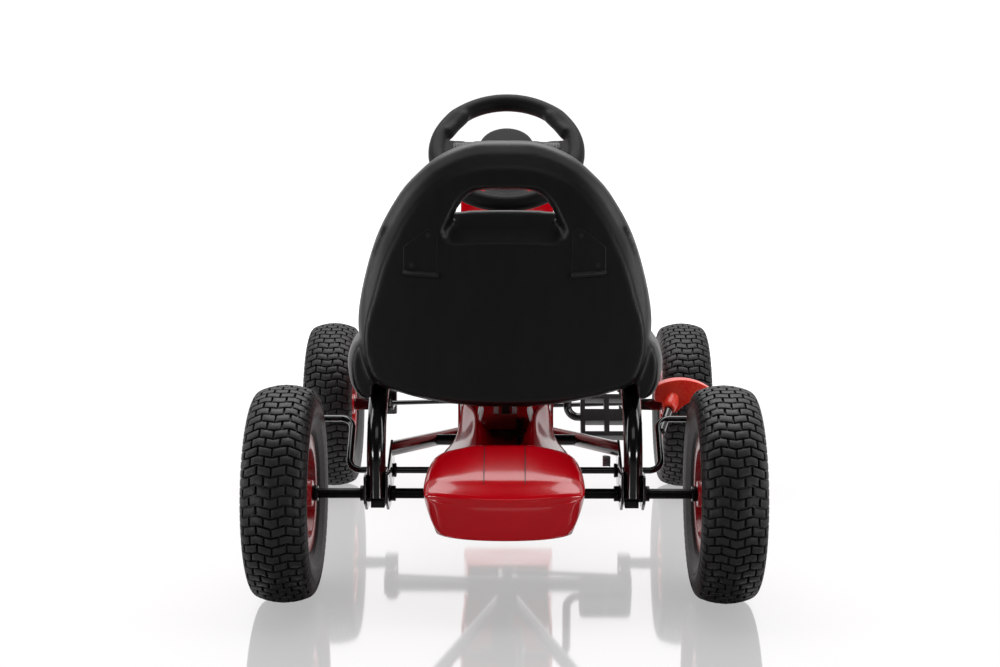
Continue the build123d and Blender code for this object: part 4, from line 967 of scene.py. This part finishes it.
shine = add_node(tree, "Emission", {"Color": (1, 1, 1, 1), "Strength": glow}).outputs["Emission"]
matt = add_node(tree, "BsdfDiffuse", {"Color": (0.14, 0.14, 0.14, 1)}).outputs["BSDF"]
mirror = add_node(
    tree, "BsdfAnisotropic", {"Color": (0.42, 0.41, 0.41, 1), "Roughness": 0.05},
).outputs["BSDF"]
lit = add_node(tree, "AddShader", {0: shine, 1: matt}).outputs["Shader"]
surface = add_node(tree, "AddShader", {0: lit, 1: mirror}).outputs["Shader"]
add_node(tree, "OutputMaterial", {"Surface": surface})
floor_mesh.materials.append(white_sheet)

world = bpy.data.worlds.new("white_room")
bpy.context.scene.world = world
world.use_nodes = True
tree = world.node_tree
tree.nodes.clear()
direction = add_node(tree, "TexCoord").outputs["Generated"]
parts = add_node(tree, "SeparateXYZ", {"Vector": direction})
behind = add_node(
    tree, "MapRange",
    {"Value": parts.outputs["Y"], "From Min": -0.2, "From Max": 0.5, "To Min": 0.03, "To Max": 1.0},
).outputs["Result"]
room = add_node(tree, "Background", {"Color": (1, 1, 1, 1), "Strength": behind}).outputs["Background"]
backdrop = add_node(tree, "Background", {"Color": (1, 1, 1, 1), "Strength": 1.05}).outputs["Background"]
seen = add_node(tree, "LightPath").outputs["Is Camera Ray"]
mixed = add_node(tree, "MixShader", {"Fac": seen, 1: room, 2: backdrop}).outputs["Shader"]
add_node(tree, "OutputWorld", {"Surface": mixed})


def soft_light(name, place, target, width, height, power):
    """A rectangular soft light that points at a place."""
    light = bpy.data.lights.new(name, "AREA")
    light.shape = "RECTANGLE"
    light.size, light.size_y = width, height
    light.energy = power
    lamp = bpy.data.objects.new(name, light)
    lamp.location = place
    lamp.rotation_euler = (Vector(target) - Vector(place)).to_track_quat("-Z", "Y").to_euler()
    bpy.context.scene.collection.objects.link(lamp)


soft_light("overhead", (0, 0.35, 2.3), (0, 0, 0.2), 2.4, 1.8, 50)
soft_light("left_strip", (-1.7, -0.5, 0.9), (0, -0.2, 0.3), 0.5, 1.6, 9)
soft_light("right_strip", (1.7, -0.5, 0.9), (0, -0.2, 0.3), 0.5, 1.6, 9)
soft_light("left_low", (-1.3, -1.7, 0.35), (0, -0.2, 0.2), 0.5, 0.2, 5)
soft_light("right_low", (1.3, -1.7, 0.35), (0, -0.2, 0.2), 0.5, 0.2, 5)
soft_light("fill", (0.2, -2.6, 2.0), (0, -0.2, 0.3), 1.6, 0.8, 3.5)

lens = bpy.data.cameras.new("camera")
lens.sensor_width = 36
lens.lens = 58.97
camera = bpy.data.objects.new("camera", lens)
camera.location = (0.0140, -2.2371, 0.5380)
camera.rotation_euler = (pi / 2 - 0.117986, 0, 0.0103828)
bpy.context.scene.collection.objects.link(camera)
bpy.context.scene.camera = camera
bpy.context.scene.view_settings.view_transform = "Standard"
